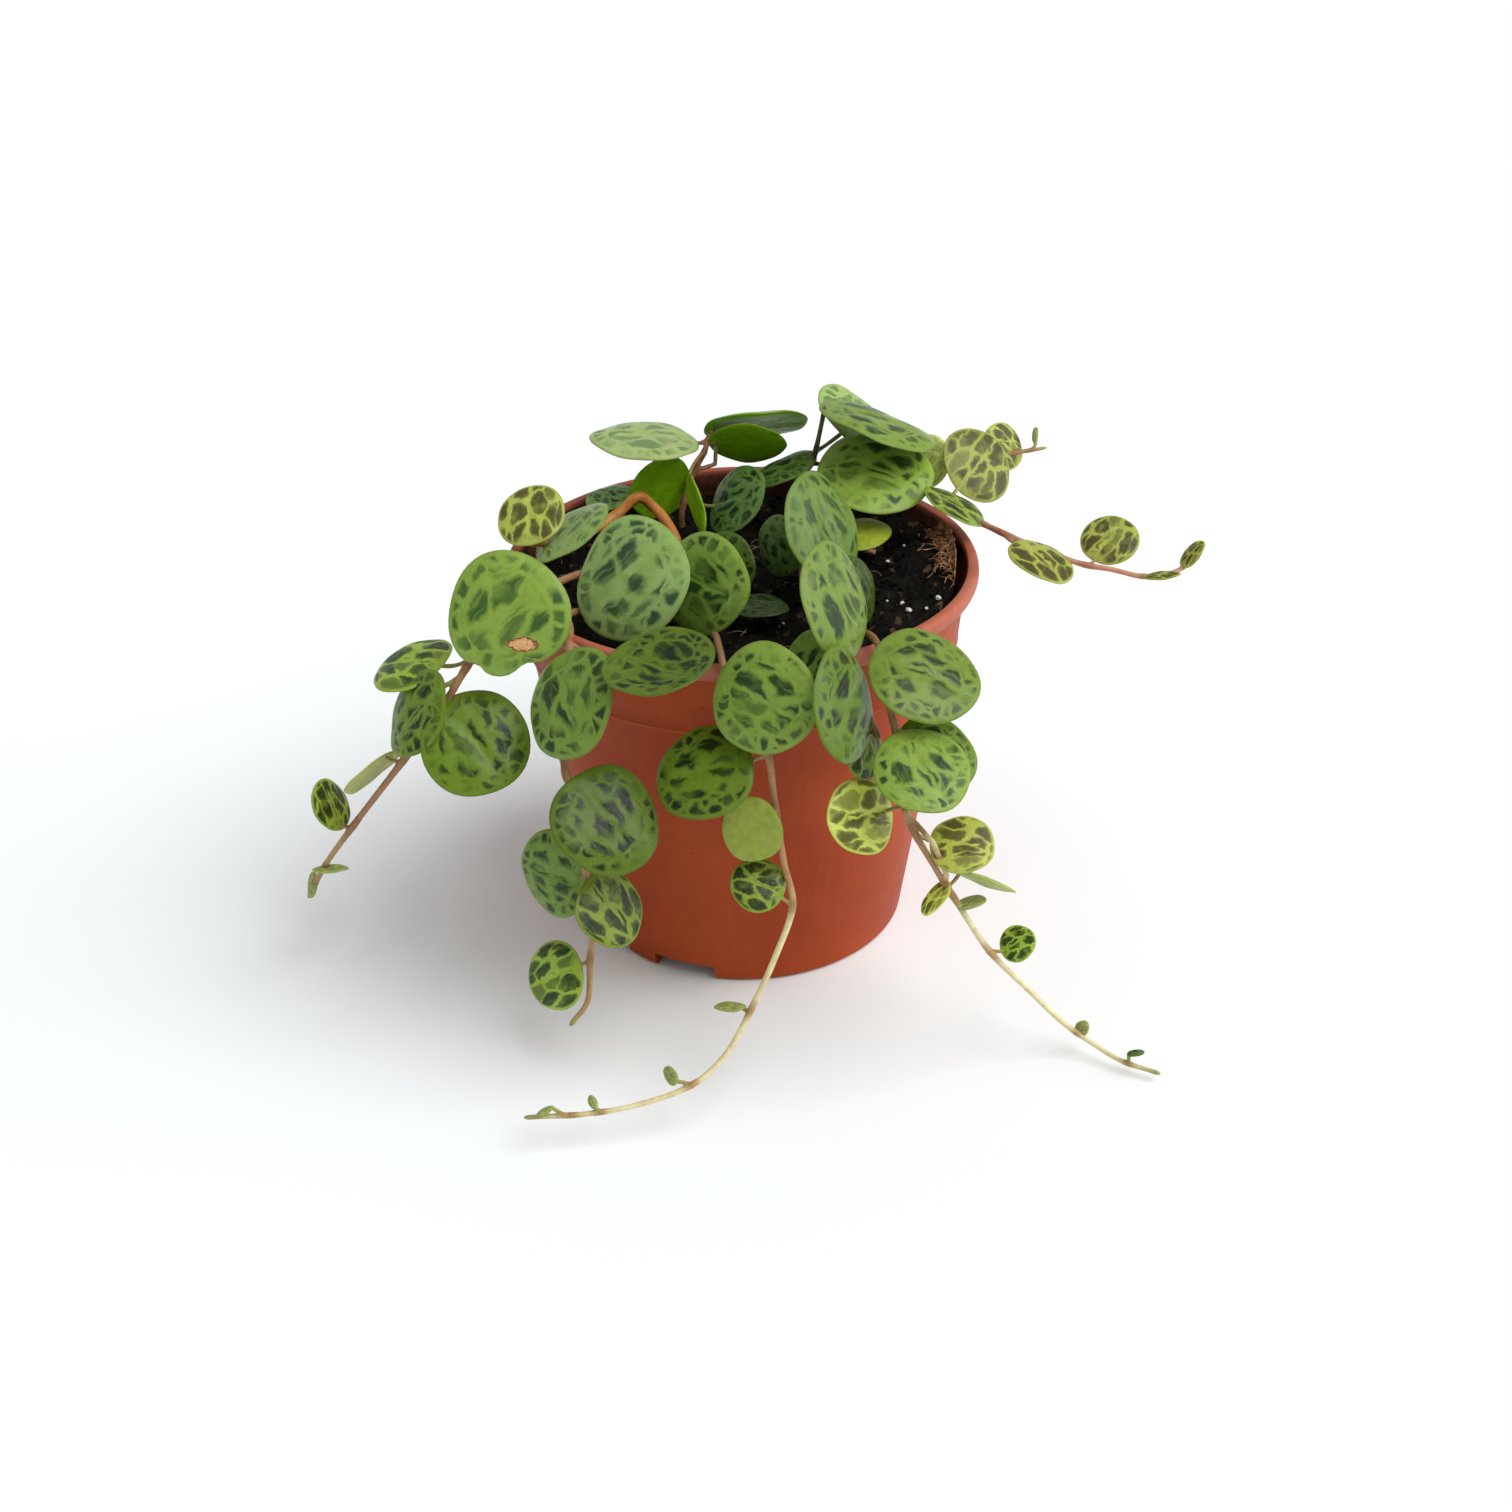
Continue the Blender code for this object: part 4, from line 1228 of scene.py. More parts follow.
# Short names for the table of stems
L = Leaf
K = Look
STEMS = (
    LeafyStem(
        "stem_left_long", (-9.0, -5.0),
        (
            (-15.0, -8.5, 53.3), (-19.0, -11.5, 54.3), (-22.5, -15.0, 54.5), (-27.5, -18.5, 53.5),
            (-32.0, -23.0, 48.5), (-35.5, -23.5, 43.0), (-41.5, -21.0, 34.0), (-47.5, -17.5, 25.0),
            (-53.0, -14.0, 16.5), (-55.5, -11.5, 12.0), (-58.0, -10.5, 7.2),
        ),
        (
            L((-27.3, -22.7, 54.3), -102, 29, 15.0, 3.2, K.FRESH, 1.0, 0.07,
              ((58, 16, 0.19), (5, 9, 0.09), (84, 12, 0.06)), True),
            L((-40.2, -16.5, 45.0), -166, 70, 10.5, 4.8, K.CRISP, tone=1.2),
            L((-38.9, -24.0, 42.2), -147, 35, 11.0, 5.1, K.DEEP),
            L((-31.5, -27.5, 40.0), -80, 43, 13.0, 6.0, K.DEEP, tone=0.92),
            L((-46.3, -18.5, 31.0), 138, 39, 9.0, 7.0, K.TENDER, 0.8, tone=1.5),
            L((-52.6, -14.0, 23.5), -18, 28, 7.0, 8.4, K.CRISP, tone=1.05),
            L((-54.4, -12.0, 12.5), 113, 80, 5.0, 9.8, K.TENDER, 0.45, tone=1.5),
            L((-57.5, -10.5, 9.0), -155, 40, 4.3, 10.7, K.TENDER, 0.45, tone=1.2),
        ),
        skin=Skin.TAN,
    ),
    LeafyStem(
        "stem_front_left", (-6.0, -9.0),
        (
            (-13.0, -11.5, 50.4), (-18.5, -14.0, 50.6), (-20.7, -17.0, 51.4), (-20.1, -22.0, 52.0),
            (-20.0, -25.5, 51.4), (-19.5, -28.5, 47.0), (-20.5, -34.5, 41.0), (-19.0, -37.0, 37.0),
            (-18.5, -39.0, 31.0), (-18.0, -39.0, 22.5), (-18.5, -39.5, 17.0), (-19.0, -40.0, 11.5),
            (-21.0, -40.5, 8.5),
        ),
        (
            L((-9.0, -33.5, 52.5), -141, 80, 13.0, 4.8, K.DEEP, 1.0, -0.2, tone=0.7),
            L((-19.7, -32.5, 48.0), -141, 35, 13.5, 4.9, K.MATURE, tone=0.9),
            L((-15.5, -39.5, 36.5), -61, 43, 13.0, 7.2, K.DEEP, tone=0.62),
            L((-22.5, -36.5, 27.5), -129, 16, 10.5, 9.4, K.MATURE, tone=0.85),
            L((-15.5, -40.5, 25.0), -39, 33, 9.5, 9.6, K.CRISP, tone=0.68),
            L((-23.0, -38.5, 14.0), -127, 24, 8.5, 11.0, K.CRISP, tone=1.25),
        ),
        skin=Skin.TAN,
    ),
    LeafyStem(
        "stem_front_centre", (-3.4, -20.5),
        (
            (-3.0, -24.5, 52.2), (-2.4, -29.0, 52.4), (-1.8, -31.5, 51.2), (0.3, -34.0, 48.0),
            (2.8, -36.8, 43.5), (3.5, -37.0, 37.5), (4.5, -40.0, 31.0), (5.5, -41.0, 25.5),
            (3.5, -42.5, 19.5), (0.5, -45.0, 13.5), (-2.5, -47.5, 9.0), (-6.5, -50.0, 6.5),
            (-12.5, -51.5, 5.0), (-18.5, -52.5, 4.5), (-25.5, -53.0, 4.5),
        ),
        (
            L((2.5, -37.0, 50.5), -114, 23, 12.7, 3.1, K.MATURE),
            L((-4.5, -36.5, 41.0), -121, 52, 12.0, 5.0, K.DEEP, tone=0.85),
            L((1.0, -39.5, 35.0), 70, -20, 7.5, 6.2, K.LIME, tone=0.85),
            L((1.5, -41.0, 28.5), -89, 50, 6.5, 8.0, K.CRISP, tone=0.8),
            L((-2.0, -43.5, 13.0), 124, 72, 4.5, 10.0, K.TENDER, 0.5, tone=1.2),
            L((-9.0, -49.5, 7.5), -138, 16, 2.6, 12.0, K.TENDER, 0.8),
            L((-18.0, -52.0, 5.8), -110, 40, 1.8, 13.8, K.TENDER, 0.6),
            L((-23.5, -53.0, 5.4), 150, 60, 2.4, 14.3, K.TENDER, 0.5),
        ),
        skin=Skin.CREAM_END,
        pale_from=0.5,
        radius=0.44,
    ),
    LeafyStem(
        "stem_front_right", (12.2, -19.5),
        (
            (14.6, -24.0, 52.0), (15.8, -28.0, 52.3), (16.5, -31.0, 50.8), (16.5, -33.0, 48.5),
            (17.5, -35.0, 44.5), (18.5, -39.5, 37.0), (22.0, -40.5, 30.0), (24.5, -39.5, 25.0),
            (29.0, -38.0, 16.5), (34.5, -37.0, 9.5), (38.5, -37.0, 5.0), (42.0, -38.0, 2.6),
            (45.5, -40.5, 1.6), (49.5, -42.5, 1.3),
        ),
        (
            L((20.9, -31.5, 50.5), -65, 62, 13.2, 2.6, K.MATURE, tone=0.78),
            L((20.2, -40.0, 43.0), -80, 62, 11.2, 5.0, K.MATURE),
            L((21.9, -36.0, 42.5), -67, 51, 10.2, 4.7, K.DEEP),
            L((13.5, -38.5, 36.0), -54, 35, 9.0, 5.9, K.YOUNG, tone=1.4),
            L((25.0, -40.0, 33.0), -99, 59, 7.5, 6.3, K.YOUNG),
            L((28.0, -38.5, 27.0), 67, 42, 8.0, 7.6, K.TENDER, 0.35, tone=1.3),
            L((22.0, -40.5, 26.0), -160, 41, 5.0, 7.5, K.YOUNG, 0.65, tone=1.7),
            L((26.5, -38.5, 24.0), 150, 87, 4.0, 7.9, K.TENDER, 0.6),
            L((32.5, -36.5, 16.5), -127, 42, 4.6, 9.0, K.CRISP, tone=1.3),
            L((41.0, -37.0, 3.9), -135, 23, 2.3, 11.5, K.TENDER, 0.8),
            L((47.0, -41.0, 3.2), 150, 70, 2.2, 13.2, K.DARK, 0.5),
        ),
        (
            ((18.6, -39.4, 36.8), (21.5, -41.2, 34.0), (23.2, -41.0, 29.5), (23.2, -40.0, 27.5)),
        ),
        skin=Skin.CREAM_END,
        pale_from=0.55,
        radius=0.43,
    ),
    LeafyStem(
        "stem_right_far", (9.0, 9.5),
        (
            (15.0, 11.0, 54.6), (21.5, 11.5, 54.0), (25.0, 12.0, 54.0), (28.5, 7.5, 53.2),
            (34.0, 1.5, 52.5), (42.0, -1.0, 50.0), (47.0, -1.0, 48.8), (51.0, -1.0, 47.8),
            (55.0, 0.5, 47.6), (57.5, 2.5, 48.0),
        ),
        (
            L((27.5, 6.0, 55.0), -4, 63, 9.0, 4.4, K.CRISP, 0.9, tone=0.85),
            L((37.5, -4.5, 52.0), -32, 72, 9.0, 4.9, K.YOUNG, 0.9, tone=0.85),
            L((47.0, 2.5, 51.5), -104, 58, 7.5, 6.3, K.YOUNG, tone=0.85),
            L((53.0, -2.0, 48.5), 151, 74, 5.3, 8.0, K.YOUNG, 0.4),
            L((57.5, 2.0, 49.5), -160, 42, 4.3, 9.6, K.YOUNG, 0.7),
            L((31.5, 17.0, 56.0), -54, 40, 10.5, 3.6, K.YOUNG, tone=0.75),
        ),
        skin=Skin.ROSE,
        radius=0.42,
    ),
    LeafyStem(
        "stem_right_back", (13.0, 13.0),
        (
            (18.0, 15.0, 54.5), (24.0, 17.0, 55.5), (31.0, 20.5, 54.5), (36.0, 22.5, 55.0),
            (41.0, 24.0, 55.2),
        ),
        (
            L((24.5, 17.8, 56.2), -125, 19, 7.2, 1.6, K.TENDER, tone=2.3),
            L((35.5, 23.0, 56.0), -49, 31, 6.7, 4.2, K.YOUNG),
            L((40.0, 26.0, 56.3), -173, 24, 2.8, 4.6, K.TENDER, 0.4),
        ),
        skin=Skin.TAN,
        radius=0.36,
    ),
    LeafyStem(
        "stem_upright_left", (-8.0, 15.0),
        (
            (-6.8, 16.8, 54.0), (-4.8, 17.4, 58.0), (-4.3, 18.5, 59.5),
        ),
        (
            L((-12.5, 16.5, 60.5), 30, 84, 14.5, 2.8, K.GLARE),
            L((2.0, 21.5, 60.5), 99, 54, 14.0, 3.0, K.LIT, tone=1.3),
            L((1.0, 18.5, 59.0), 86, 41, 10.5, 2.6, K.LIT, tone=1.2),
            L((-10.9, 16.2, 53.6), 120, 5, 9.0, 0.9, K.LIT, tone=1.3),
            L((-5.6, 11.0, 53.2), 24, -5, 9.0, 2.0, K.LIT, 0.45, tone=1.4),
            L((-0.7, 13.0, 53.2), -152, 40, 10.2, 0.5, K.DARK, tone=1.3),
        ),
        (
            ((-6.2, 17.0, 55.5), (-3.4, 18.0, 56.0), (-3.2, 19.0, 59.0), (-3.8, 18.8, 60.5)),
        ),
        skin=Skin.TAN,
        radius=0.45,
    ),
    LeafyStem(
        "stem_middle", (-5.0, 3.0),
        (
            (-6.0, -3.0, 53.0), (-6.0, -7.5, 53.8), (-8.0, -11.5, 53.5),
        ),
        (
            L((-13.2, -17.0, 56.0), -122, 33, 15.2, 3.0, K.GREY),
            L((-4.5, -15.5, 54.5), -127, 21, 12.5, 2.4, K.MATURE, tone=1.2),
            L((-2.0, -6.5, 52.8), -112, 24, 8.0, 1.3, K.DEEP, tone=0.55),
            L((2.0, -13.0, 50.6), 74, 86, 7.8, 2.0, K.DARK, 0.9, tone=0.3),
        ),
    ),
    LeafyStem(
        "stem_left_arched", (-8.5, 7.5),
        (
            (-9.8, 10.0, 51.3), (-11.5, 11.5, 52.8), (-13.5, 10.8, 54.5), (-16.5, 9.3, 52.5),
            (-21.5, 3.0, 52.0), (-26.5, 0.5, 53.0),
        ),
        (
            L((-21.8, 2.0, 54.0), -175, 62, 12.5, 4.0, K.PALE, 0.85),
            L((-26.6, 2.5, 56.0), -114, 52, 9.0, 6.0, K.YOUNG),
            L((-17.3, 16.6, 52.2), -143, 82, 7.0, 2.8, K.DARK, tone=2.2),
        ),
        skin=Skin.AMBER,
        radius=0.75,
    ),
    LeafyStem(
        "stem_upright_right", (6.0, 15.0),
        (
            (7.5, 14.5, 55.0), (9.5, 15.5, 57.5), (11.0, 14.5, 65.0),
        ),
        (
            L((18.0, 14.5, 63.0), 18, 70, 16.0, 3.0, K.MATURE, tone=0.9),
            L((16.4, 25.0, 59.0), -15, 49, 14.0, 2.2, K.PALE, tone=1.3),
            L((17.6, 11.5, 57.5), -85, 68, 15.0, 1.9, K.MATURE, tone=1.15),
            L((5.6, 15.8, 56.3), -176, 67, 9.3, 1.7, K.DARK, 0.9),
        ),
        skin=Skin.SLATE,
        radius=0.42,
    ),
    LeafyStem(
        "stem_column", (9.0, 5.0),
        (
            (8.5, -2.0, 52.0), (7.5, -8.0, 51.8), (9.0, -18.0, 53.0), (10.5, -26.0, 53.3),
            (11.3, -30.5, 51.3), (14.0, -32.0, 47.0), (15.5, -33.5, 43.5),
        ),
        (
            L((10.3, -5.2, 57.0), -31, 26, 14.5, 1.3, K.FRESH, tone=0.62),
            L((11.0, -27.5, 58.0), -27, 21, 14.0, 3.9, K.MATURE, tone=0.78),
            L((11.7, -36.5, 49.4), -25, 19, 13.5, 5.3, K.DEEP, tone=0.75),
            L((13.6, -15.0, 53.0), -39, 24, 8.5, 2.3, K.DEEP, tone=0.35),
            L((15.5, 6.0, 51.3), -96, 81, 8.0, 0.4, K.LIME, 0.9),
            L((8.0, -31.5, 52.0), -130, 39, 8.3, 4.7, K.DEEP, tone=1.25),
            L((14.0, -34.0, 42.0), -38, 27, 7.0, 6.9, K.CRISP, tone=0.7),
            L((4.8, -2.5, 53.4), -136, 11, 7.9, 0.8, K.DARK),
        ),
        (
            ((9.0, 4.5, 50.3), (13.0, 4.4, 50.6), (17.1, 2.4, 50.0)),
        ),
    ),
    LeafyStem(
        "stem_back", (12.0, 19.5),
        (
            (14.0, 24.0, 53.0), (16.0, 28.5, 52.0), (17.0, 32.0, 47.5), (17.5, 33.5, 40.0),
            (17.5, 34.0, 33.0),
        ),
        (
            L((21.0, 35.0, 45.0), 60, 40, 10.0, 2.8, K.MATURE),
            L((13.0, 37.0, 42.5), 100, 45, 11.0, 3.4, K.MATURE),
            L((21.5, 37.0, 36.5), 50, 35, 9.0, 3.9, K.YOUNG),
            L((14.5, 37.5, 33.5), 85, 35, 8.0, 4.5, K.YOUNG),
            L((18.5, 36.5, 28.5), 70, 30, 6.0, 5.0, K.TENDER),
        ),
        skin=Skin.TAN,
    ),
)


@dataclass(frozen=True)
class Pot:
    """The tapered pot: rounded lip, collar with a faint seam and a step below, wall and notched foot."""

    sides: int = 168
    height: float = 50.8
    lip_radius: float = 30.0
    lip_bottom: float = 48.8
    lip_round: float = 0.45
    collar_top: float = 28.4
    collar_foot_radius: float = 27.6
    collar_foot: float = 40.5
    step_in: float = 0.4
    step_drop: float = 0.3
    foot_radius: float = 21.2
    foot_round: float = 0.8
    floor: float = 1.2
    middle_radius: float = 2.0
    inner_top: float = 28.5
    inner_wall: float = 27.4
    inner_foot: float = 19.9
    inner_wall_top: float = 49.7
    soil_top: float = 48.0
    sharp_from: float = 40.0
    notch_turns: tuple[float, ...] = (-149.0, -113.0, 31.0, 67.0)
    notch_depth: float = 6.0
    notch_width: float = 8.5
    notch_height: float = 2.2
    notch_middle: Point = (20.0, 0.0, 0.6)
    notch_round: float = 0.3

    def stations(self) -> list[tuple[float, float]]:
        """Lists the rings from the underside up the wall, over the lip and down to the inner floor.

        Returns:
            (radius, height) of each ring.
        """
        wall_foot = self.collar_foot - self.step_drop
        seam = self.collar_foot_radius
        outer = [(self.middle_radius, 0.0), (10.0, 0.0), (self.foot_radius - self.foot_round - 0.1, 0.0)]
        for turn in (25, 50, 75, 90):
            a = math.radians(turn)
            radius = self.foot_radius - self.foot_round * (1 - math.sin(a))
            outer.append((radius, self.foot_round * (1 - math.cos(a))))
        for share in (0.06, 0.2, 0.4, 0.6, 0.8, 0.95, 1.0):
            radius = self.foot_radius + (seam - self.step_in - self.foot_radius) * share
            outer.append((radius, self.foot_round + (wall_foot - self.foot_round) * share))
        for proud, rise in ((-0.12, 0.12 - self.step_drop), (0.0, 0.1), (0.1, 0.28), (0.02, 0.48)):
            outer.append((seam + proud, self.collar_foot + rise))
        for share in (0.25, 0.5, 0.75, 0.95):
            radius = seam + (self.collar_top - seam) * share
            outer.append((radius, self.collar_foot + (self.lip_bottom - self.collar_foot) * share))
        outer.append((self.collar_top + 0.05, self.lip_bottom - 0.05))
        outer.append((self.collar_top + 0.2, self.lip_bottom))
        middle, half = (self.lip_bottom + self.height) / 2, (self.height - self.lip_bottom) / 2
        for turn in (-90, -60, -30, 0, 30, 60, 90):
            a = math.radians(turn)
            radius = self.lip_radius - self.lip_round * (1 - math.cos(a))
            outer.append((radius, middle + half * math.sin(a)))
        inner = [
            (self.inner_top + self.lip_round, self.height),
            (self.inner_top + self.lip_round / 3, self.height - 0.12),
            (self.inner_top, self.height - self.lip_round),
            (self.inner_top, self.inner_wall_top),
            (self.inner_wall, self.soil_top),
            (self.inner_foot, self.floor),
            (self.middle_radius, self.floor),
        ]
        return outer + inner

    def notches(self) -> bpy.types.Object:
        """Makes the rounded blocks that cut the drain notches.

        Returns:
            All blocks as one object.
        """
        middle = Vector(self.notch_middle) * MM
        block = added("notch", bpy.ops.mesh.primitive_cube_add, size=1.0, location=middle)
        height = 2 * (self.notch_height - self.notch_middle[2])
        block.scale = Vector((self.notch_depth, self.notch_width, height)) * MM
        settle(block)
        apply_modifier(block, "BEVEL", width=self.notch_round * MM, segments=3)
        turns = [Matrix.Rotation(math.radians(turn), 4, "Z") for turn in self.notch_turns]
        blocks = [copied(block, "notches", turn) for turn in turns]
        bpy.data.objects.remove(block, do_unlink=True)
        return joined("notches", blocks)

    def build(self) -> bpy.types.Object:
        """Raises the pot and cuts its drain notches.

        Returns:
            The pot.
        """
        obj = raise_rings("pot_shell", self.sides, self.stations())
        reach = (self.middle_radius + 0.2) * MM
        with editing(obj):
            select_vertices(obj, lambda place: place.z < LEVEL and math.hypot(place.x, place.y) < reach)
            bpy.ops.mesh.poke()
        notches = self.notches()
        apply_modifier(obj, "BOOLEAN", object=notches, operation="DIFFERENCE", solver="EXACT")
        bpy.data.objects.remove(notches, do_unlink=True)
        return obj

    def dress(self) -> None:
        """Builds and finishes the pot."""
        obj = self.build()
        finish_piece(obj, PotPlastic().material(), ("pot",))
        select_only(obj)
        bpy.ops.object.shade_smooth_by_angle(angle=math.radians(self.sharp_from))


@dataclass(frozen=True)
class Soil:
    """The soil bed with its crumbs, pale grains, root fibres, husk clump and an old cut stem.

    A wave has its height, its rate along x and along y, and its phase. A grain and a clump have x, y
    and a radius. A heap has x, y, its reach and its height.
    """

    sides: int = 200
    top: float = 48.0
    radius: float = 27.1
    foot_radius: float = 19.6
    foot: float = 1.5
    edge_drop: float = 0.6
    edge_rate: float = 6.0
    ring_gap: float = 0.5
    waves: tuple[tuple[float, float, float, float], ...] = (
        (0.30, 0.31, 0.27, 0.4), (0.22, 0.62, -0.45, 1.9), (0.14, -0.95, 1.10, 3.1),
    )
    heaps: tuple[tuple[float, float, float, float], ...] = (
        (27.0, 2.0, 7.0, 2.4), (23.5, -14.0, 7.0, 1.7), (23.5, 13.0, 7.0, 1.5),
    )
    lumps: float = 0.75
    grit: float = 0.22
    seed: int = 11
    crumbs: int = 900
    crumb_sizes: tuple[float, float] = (0.16, 0.34)
    grains: tuple[tuple[float, float, float], ...] = (
        (24.6, 9.9, 0.3), (18.7, 2.4, 0.26), (24.1, -10.4, 0.34), (19.6, -11.6, 0.3), (18.0, -8.0, 0.22),
        (20.2, -14.1, 0.36), (22.4, -13.4, 0.24), (21.0, 5.6, 0.2), (16.2, -3.4, 0.2),
    )
    strewn_grains: int = 12
    grain_sizes: tuple[float, float] = (0.08, 0.2)
    thread_points: int = 5
    fibres: int = 70
    fibre_radius: float = 0.06
    fibre_step: float = 0.6
    clumps: tuple[tuple[float, float, float], ...] = (
        (26.8, 7.6, 1.4), (26.9, 4.8, 1.9), (27.0, 1.6, 2.0), (26.4, -2.2, 1.6),
    )
    husk_fibres: int = 240
    husk_radius: float = 0.085
    husk_step: float = 0.55
    husk_height: float = 2.4
    stub_sides: int = 14
    stub_foot: Point = (14.6, 8.4, 48.0)
    stub_end: Point = (16.9, 4.9, 49.3)
    stub_rings: tuple[tuple[float, float], ...] = (
        (0.62, 0.0), (0.7, 0.8), (0.66, 2.2), (0.6, 3.3), (0.66, 4.0), (0.62, 4.35), (0.3, 4.3),
    )

    def height(self, x: float, y: float) -> float:
        """Gives the height of the bed's surface, without its crumbs.

        Args:
            x: Place in millimetres.
            y: Place in millimetres.

        Returns:
            Height in millimetres.
        """
        waved = 0.0
        for size, along_x, along_y, phase in self.waves:
            waved += size * math.sin(along_x * x + along_y * y + phase)
        share = min(1.0, self.edge_rate * (1.0 - math.hypot(x, y) / (self.radius + 0.3)))
        heaped = 0.0
        for middle_x, middle_y, reach, rise in self.heaps:
            away = ((x - middle_x) ** 2 + (y - middle_y) ** 2) / reach**2
            heaped = max(heaped, rise * math.exp(-away * away))
        return self.top + share * waved + heaped

    def bed(self) -> bpy.types.Object:
        """Raises the bed and breaks its surface into lumps.

        Returns:
            The closed bed.
        """
        foot = [(2.0, self.foot), (self.foot_radius, self.foot), (self.radius, self.top - self.edge_drop)]
        rings = int((self.radius - 0.4) / self.ring_gap)
        surface = [(self.radius - 0.2 - self.ring_gap * step, self.top) for step in range(rings)]
        obj = raise_rings("soil_bed", self.sides, foot + surface)
        for vertex in obj.data.vertices:
            x, y, z = vertex.co / MM
            if z > self.top - self.edge_drop / 2:
                lumps = self.lumps * (noise.turbulence(Vector((x, y, 0)) * 0.55, 4, False) - 0.35)
                grit = self.grit * noise.noise(Vector((x, y, 7)) * 2.1)
                edge = min(1.0, (self.radius - math.hypot(x, y)) / 1.2)
                vertex.co.z = (self.height(x, y) + edge * (lumps + grit)) * MM
        return obj

    def spot(self, draw: random.Random, inset: float) -> tuple[float, float]:
        """Draws a place on the bed, each as likely as any other.

        Args:
            draw: Source of chance.
            inset: How far inside the edge it stays.

        Returns:
            x and y, in millimetres.
        """
        reach, turn = (self.radius - inset) * math.sqrt(draw.random()), draw.uniform(0, math.tau)
        return reach * math.cos(turn), reach * math.sin(turn)

    def lump(self, name: str, detail: int, ruggedness: float) -> bpy.types.Object:
        """Makes a rugged lump, 1 mm in radius, to copy.

        Args:
            name: Name of the lump.
            detail: How finely it is divided.
            ruggedness: How far its vertices move, in millimetres.

        Returns:
            The lump.
        """
        obj = added(name, bpy.ops.mesh.primitive_ico_sphere_add, subdivisions=detail, radius=MM)
        with editing(obj):
            bpy.ops.mesh.select_all(action="SELECT")
            bpy.ops.transform.vertex_random(offset=ruggedness * MM, seed=3)
        return obj

    def strew(
        self,
        name: str,
        master: bpy.types.Object,
        places: list[tuple[float, float, float, float]],
        draw: random.Random,
    ) -> bpy.types.Object:
        """Copies a lump to many places, each copy turned and stretched by chance.

        Args:
            name: Name of the joined copies.
            master: The lump, which is used up.
            places: x, y, z and radius of each copy, in millimetres.
            draw: Source of chance.

        Returns:
            All copies as one object.
        """
        copies = []
        for x, y, z, size in places:
            turn = Matrix.Rotation(draw.uniform(0, math.tau), 4, "Z")
            turn = turn @ Matrix.Rotation(draw.uniform(0, math.tau), 4, "X")
            wide, high = draw.uniform(0.7, 1.4), draw.uniform(0.6, 1.0)
            stretch = Matrix.Diagonal((size * wide, size, size * high, 1.0))
            place = Matrix.Translation(Vector((x, y, z)) * MM)
            copies.append(copied(master, name, place @ turn @ stretch))
        bpy.data.objects.remove(master, do_unlink=True)
        return joined(name, copies)

    def peat_crumbs(self) -> bpy.types.Object:
        """Strews loose crumbs over the bed.

        Returns:
            All crumbs as one object.
        """
        draw = random.Random(self.seed)
        least, more = self.crumb_sizes
        places = []
        for _ in range(self.crumbs):
            x, y = self.spot(draw, inset=0.9)
            places.append((x, y, self.height(x, y) + 0.15, least + more * draw.random() ** 3))
        return self.strew("peat_crumbs", self.lump("crumb", detail=1, ruggedness=0.35), places, draw)

    def pale_grains(self) -> bpy.types.Object:
        """Sets the white grains, half sunk in the bed.

        Returns:
            All grains as one object.
        """
        draw = random.Random(self.seed + 1)
        least, more = self.grain_sizes
        grains = list(self.grains)
        for _ in range(self.strewn_grains):
            grains.append((*self.spot(draw, inset=1.0), least + more * draw.random() ** 2))
        places = [(x, y, self.height(x, y) + 0.25, size) for x, y, size in grains]
        return self.strew("pale_grains", self.lump("grain", detail=2, ruggedness=0.3), places, draw)

    def threads(self, name: str, routes: list[list[Vector]], radius: float) -> bpy.types.Object:
        """Makes thin threads along routes, half as thick at their ends.

        Args:
            name: Name of the object.
            routes: Points of each thread, in millimetres.
            radius: Radius of a thread, in millimetres.

        Returns:
            All threads as one mesh.
        """
        runs = []
        for route in routes:
            runs.append([(place, radius * (1.0 - 0.5 * i / len(route))) for i, place in enumerate(route)])
        return tubes(name, runs, "NURBS", roundness=1)

    def root_fibres(self) -> bpy.types.Object:
        """Lays fine pale fibres on the bed in loose curls.

        Returns:
            All fibres as one mesh.
        """
        draw = random.Random(self.seed + 2)
        routes = []
        for _ in range(self.fibres):
            x, y = self.spot(draw, inset=3.5)
            heading, curl = draw.uniform(0, math.tau), draw.uniform(-0.9, 0.9)
            route = []
            for step in range(self.thread_points):
                route.append(Vector((x, y, self.height(x, y) + 0.3 + 0.35 * math.sin(step * 0.8))))
                x += self.fibre_step * math.cos(heading)
                y += self.fibre_step * math.sin(heading)
                heading += curl
            routes.append(route)
        return self.threads("root_fibres", routes, self.fibre_radius)

    def husk_clumps(self) -> bpy.types.Object:
        """Tangles brown husk fibres near the right of the lip, heaped up where they meet it.

        Returns:
            All husk fibres as one mesh.
        """
        draw = random.Random(self.seed + 3)
        routes = []
        for index in range(self.husk_fibres):
            middle_x, middle_y, size = self.clumps[index % len(self.clumps)]
            x, y = middle_x + draw.gauss(0, 0.42 * size), middle_y + draw.gauss(0, 0.5 * size)
            heading, rise = draw.uniform(0, math.tau), draw.uniform(0.0, 1.0)
            route = []
            for step in range(self.thread_points):
                inside = min(1.0, (self.radius - 0.1) / max(0.1, math.hypot(x, y)))
                lean = 1.4 * max(0.0, 1.0 - inside) * math.hypot(x, y)
                x, y = x * inside, y * inside
                lift = min(self.husk_height, 0.2 + rise * math.sin(step * 0.75) + lean)
                route.append(Vector((x, y, self.height(x, y) + lift)))
                x += self.husk_step * math.cos(heading)
                y += self.husk_step * math.sin(heading)
                heading += draw.uniform(-1.1, 1.1)
            routes.append(route)
        return self.threads("husk_clumps", routes, self.husk_radius)

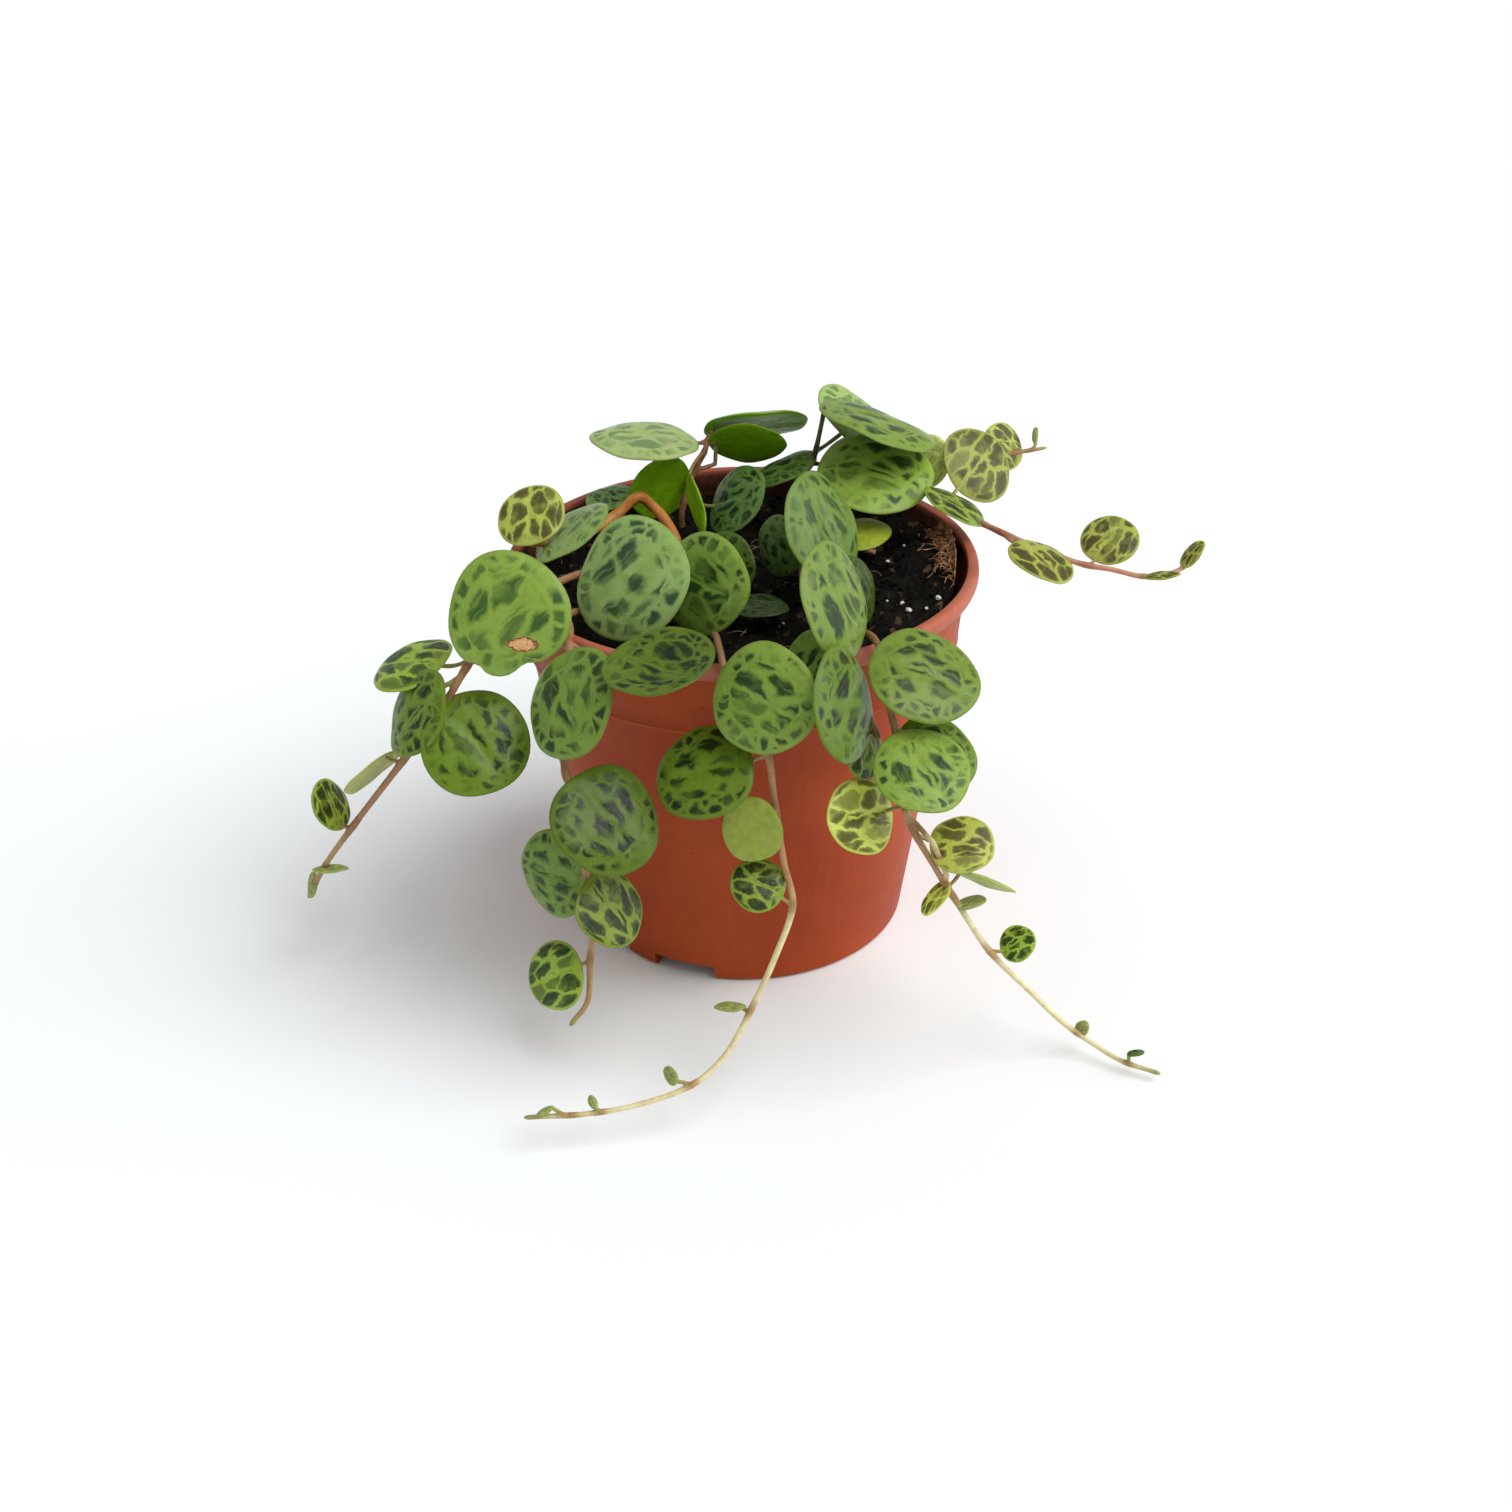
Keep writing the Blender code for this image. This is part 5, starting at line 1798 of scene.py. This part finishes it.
    def cut_stub(self) -> bpy.types.Object:
        """Leans a short dead stem on the bed, cut off at its end.

        Returns:
            The stem.
        """
        foot, end = Vector(self.stub_foot), Vector(self.stub_end)
        obj = raise_rings("cut_stub", self.stub_sides, self.stub_rings)
        turn = (end - foot).to_track_quat("Z", "Y").to_matrix().to_4x4()
        obj.data.transform(Matrix.Translation(foot * MM) @ turn)
        return obj

    def dress(self) -> None:
        """Builds and finishes the bed and all that lies on it."""
        peat = Peat().material()
        pale = Fibre("root_fibre", srgb(150, 136, 116), srgb(92, 78, 62)).material()
        husk = Fibre("husk_fibre", srgb(200, 146, 98), srgb(84, 52, 32)).material()
        dead = Fibre("dead_stem", srgb(196, 158, 112), srgb(128, 82, 44)).material()
        finish_piece(self.bed(), peat, ("soil",))
        finish_piece(self.peat_crumbs(), peat)
        finish_piece(self.pale_grains(), Grain().material())
        finish_piece(self.root_fibres(), pale)
        finish_piece(self.husk_clumps(), husk)
        finish_piece(self.cut_stub(), dead)


@dataclass(frozen=True)
class Foliage:
    """All leafy stems, finished alike."""

    stems: tuple[LeafyStem, ...] = STEMS
    maker: BladeMaker = BladeMaker()

    def dress(self) -> None:
        """Builds and finishes each stem with its stalks, and its blades."""
        bark = Bark().material()
        skin = LeafSkin().material()
        scarred = LeafSkin(scarred=True).material()
        master = self.maker.master()
        for stem in self.stems:
            finish_piece(stem.stalks(), bark, (stem.name,))
            blades = stem.blades(self.maker, master)
            finish_piece(blades, skin)
            self.mark_scarred(stem, blades, scarred)
        bpy.data.objects.remove(master, do_unlink=True)

    def mark_scarred(
        self, stem: LeafyStem, blades: bpy.types.Object, material: bpy.types.Material
    ) -> None:
        """Gives the blades with a healed wound their own finish.

        Args:
            stem: The stem.
            blades: Its joined blades, in the order of its leaves.
            material: The finish with the wound.
        """
        if not any(leaf.scarred for leaf in stem.leaves):
            return
        blades.data.materials.append(material)
        share = len(blades.data.polygons) // len(stem.leaves)
        for polygon in blades.data.polygons:
            polygon.material_index = int(stem.leaves[polygon.index // share].scarred)


@dataclass(frozen=True)
class Studio:
    """Camera at the photograph's angle, pale floor and soft light from the upper right.

    A light has its direction from the plant, its width in degrees and its watts per square metre.
    """

    target: Point = (1.5, 0.0, 21.57)
    distance: float = 280.6
    drop: float = 30.4
    roll: float = -0.77
    lens: float = 50.0
    sensor: float = 36.0
    nearest: float = 0.01
    floor_size: float = 6.0
    floor_colour: Colour = (0.91, 0.95, 0.96)
    lights: tuple[tuple[str, Point, float, float], ...] = (
        ("key", (0.49, -0.25, 0.84), 50.0, 2.15),
        ("side", (0.97, 0.0, 0.25), 40.0, 1.0),
    )
    sky: float = 0.46

    def camera(self) -> None:
        """Places the camera."""
        drop, roll = math.radians(self.drop), math.radians(self.roll)
        forward = Vector((0, math.cos(drop), -math.sin(drop)))
        level = Vector((1, 0, 0))
        right = level * math.cos(roll) + level.cross(forward) * math.sin(roll)
        up = right.cross(forward)
        place = (Vector(self.target) - forward * self.distance) * MM
        data = bpy.data.cameras.new("camera")
        data.lens = self.lens
        data.sensor_width = self.sensor
        data.clip_start = self.nearest
        turn = Matrix((right, up, -forward)).transposed().to_4x4()
        bpy.context.scene.camera = linked("camera", data, Matrix.Translation(place) @ turn)

    def floor(self) -> None:
        """Makes the pale floor."""
        obj = added("floor", bpy.ops.mesh.primitive_plane_add, size=self.floor_size)
        g = Graph("pale_floor")
        g.shade(Base_Color=self.floor_colour, Roughness=0.9, Specular_IOR_Level=0.0)
        obj.data.materials.append(g.material)

    def light(self) -> None:
        """Hangs far, wide lights that fall evenly on all of the floor, under an even sky."""
        for name, towards, angle, strength in self.lights:
            data = bpy.data.lights.new(name, "SUN")
            data.angle = math.radians(angle)
            data.energy = strength
            turn = Vector(towards).to_track_quat("Z", "Y").to_matrix().to_4x4()
            linked(name, data, Matrix.Translation(Vector(towards)) @ turn)
        world = bpy.data.worlds.new("studio")
        world.use_nodes = True
        background = world.node_tree.nodes["Background"]
        background.inputs["Color"].default_value = (1, 1, 1, 1)
        background.inputs["Strength"].default_value = self.sky
        bpy.context.scene.world = world

    def dress(self) -> None:
        """Sets camera, floor, lights and how the picture shows colours."""
        self.camera()
        self.floor()
        self.light()
        bpy.context.scene.view_settings.view_transform = "Standard"


def main() -> None:
    """Builds everything in order."""
    logging.basicConfig(level=logging.INFO, format="%(name)s: %(message)s")
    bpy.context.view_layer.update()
    Studio().dress()
    Pot().dress()
    Soil().dress()
    Foliage().dress()


if __name__ == "__main__":
    main()
